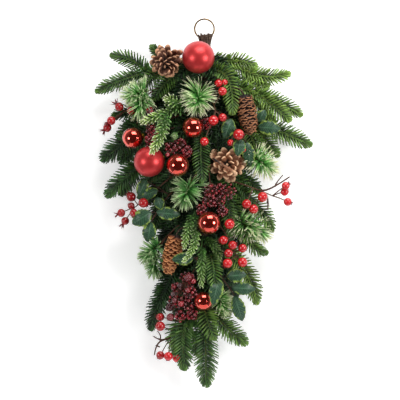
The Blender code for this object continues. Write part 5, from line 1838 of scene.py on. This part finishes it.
# %% Wall and floor
# Matt emulsion: white, with the swag's shadow as the only thing on it.
# The emission is painted light: the wall glows, though it is no lamp.
white_wall, tree, shader = new_finish("white_wall_paint", Roughness=0.9, Emission_Strength=0.30)
shader.inputs["Base Color"].default_value = linear("#fcfcfc")
shader.inputs["Emission Color"].default_value = linear("#ffffff")
behind = add_node(tree, "NewGeometry", {})["Backfacing"]
clear = add_node(tree, "BsdfTransparent", {})[0]
one_sided = add_node(tree, "MixShader", {0: behind, 1: shader.outputs[0], 2: clear})[0]
tree.links.new(one_sided, tree.nodes["Material Output"].inputs["Surface"])

# Floor paint: a pale grey that is never quite even.
pale_floor, tree, shader = new_finish("pale_floor_paint", Roughness=0.7)
greys = {"data_type": "RGBA", SHARE: grain(tree, 400 * MILLIMETRE), FIRST: "#e8e8e8", SECOND: "#f2f2f2"}
connect(shader, Base_Color=add_node(tree, "Mix", greys)[MIXED])

WALL_BEHIND = 0.022
WALL_SIZE = (7, 6)
FLOOR_HEIGHT = -1.05
FLOOR_SIZE = (1.2, 0.6)


def make_board(name, width, depth, matrix, finish):
    """A flat board of the stage."""
    board = bmesh.new()
    shape = matrix @ Matrix.Diagonal((width, depth, 1, 1))
    bmesh.ops.create_grid(board, x_segments=1, y_segments=1, size=0.5, matrix=shape)
    mesh = bpy.data.meshes.new(name)
    board.to_mesh(mesh)
    board.free()
    mesh.materials.append(finish)
    piece = bpy.data.objects.new(name, mesh)
    bpy.context.scene.collection.objects.link(piece)
    print("The", name, "is", width, "m by", depth, "m")


middle = Matrix.Translation((0, WALL_BEHIND, FLOOR_HEIGHT + WALL_SIZE[1] / 2))
make_board("wall", *WALL_SIZE, middle @ Matrix.Rotation(math.radians(90), 4, "X"), white_wall)
middle = Matrix.Translation((0, WALL_BEHIND - FLOOR_SIZE[1] / 2, FLOOR_HEIGHT))
make_board("floor", *FLOOR_SIZE, middle, pale_floor)

# %% [markdown]
# ## Camera
# The photograph was taken straight on from far away, so that no pick hides another by its nearness. A
# long lens a dozen metres off gives that. The camera stands a little to the left of the hook and at
# half the swag's height, which puts the swag where it is in the picture.

# %% Camera
camera_data = bpy.data.cameras.new("camera")
camera_data.lens = 600
camera_data.sensor_width = 36
camera = bpy.data.objects.new("camera", camera_data)
camera.location = (-0.0082, -12.46, -0.3366)
camera.rotation_euler = (math.radians(90), 0, 0)
bpy.context.scene.collection.objects.link(camera)
bpy.context.scene.camera = camera
print("The camera stands", round(camera.location.length, 2), "m away")

# %% [markdown]
# ## Light
# Two round lamps stand left and right of the camera and draw the twin glints on every ball. One broad
# soft lamp hangs above. The room's own light is even, but in a mirror it is dark on the camera's side
# and lighter all round, because that is what gives a shiny ball its dark middle and bright rim.

# %% Lamps
MIDDLE = Vector((0, 0, -0.34))
# The room's light as the matt pieces see it, and the two inputs of a Mix node of numbers.
ROOM_LIGHT = 0.12
FIRST_NUMBER, SECOND_NUMBER = 2, 3


def add_lamp(name, kind, place, size, power, tall=None):
    """An area lamp that looks at the middle of the swag."""
    light = bpy.data.lights.new(name, "AREA")
    light.shape = kind
    light.size = size
    if tall:
        light.size_y = tall
    light.energy = power
    lamp = bpy.data.objects.new(name, light)
    lamp.location = MIDDLE + Vector(place)
    lamp.rotation_euler = (MIDDLE - lamp.location).to_track_quat("-Z", "Y").to_euler()
    lamp.visible_camera = False
    bpy.context.scene.collection.objects.link(lamp)
    print("The", name, "stands", round(Vector(place).length, 2), "m away")


add_lamp("right_lamp", "DISK", (1.55, -1.25, 0.05), 0.75, 24)
add_lamp("left_lamp", "DISK", (-1.35, -1.35, 0.05), 0.65, 14)
add_lamp("top_softbox", "RECTANGLE", (0.25, -0.75, 1.35), 1.2, 22, 0.8)

world = bpy.data.worlds.new("studio")
bpy.context.scene.world = world
world.use_nodes = True
tree = world.node_tree
backdrop = tree.nodes["Background"]
backdrop.inputs["Color"].default_value = linear("#ffffff")
path = add_node(tree, "LightPath", {})
way = add_node(tree, "SeparateXYZ", {"Vector": add_node(tree, "TexCoord", {})["Generated"]})["Y"]
dark_side = {"From Min": -0.75, "From Max": -0.15, "To Min": 0.04, "To Max": 0.22}
mirrored = add_node(tree, "MapRange", {**dark_side, "Value": way})[0]
rays = {SHARE: path["Is Glossy Ray"], FIRST_NUMBER: ROOM_LIGHT, SECOND_NUMBER: mirrored}
room = add_node(tree, "Mix", rays)[0]
strength = add_node(tree, "Math", {"operation": "MAXIMUM", 0: room, 1: path["Is Camera Ray"]})[0]
tree.links.new(strength, backdrop.inputs["Strength"])
bpy.context.scene.view_settings.view_transform = "Standard"

# %% [markdown]
# ## Triangles
# The triangles of every dressed piece are added up.

# %% Sizes
print("Triangles in all:", sum(piece_triangles.values()))
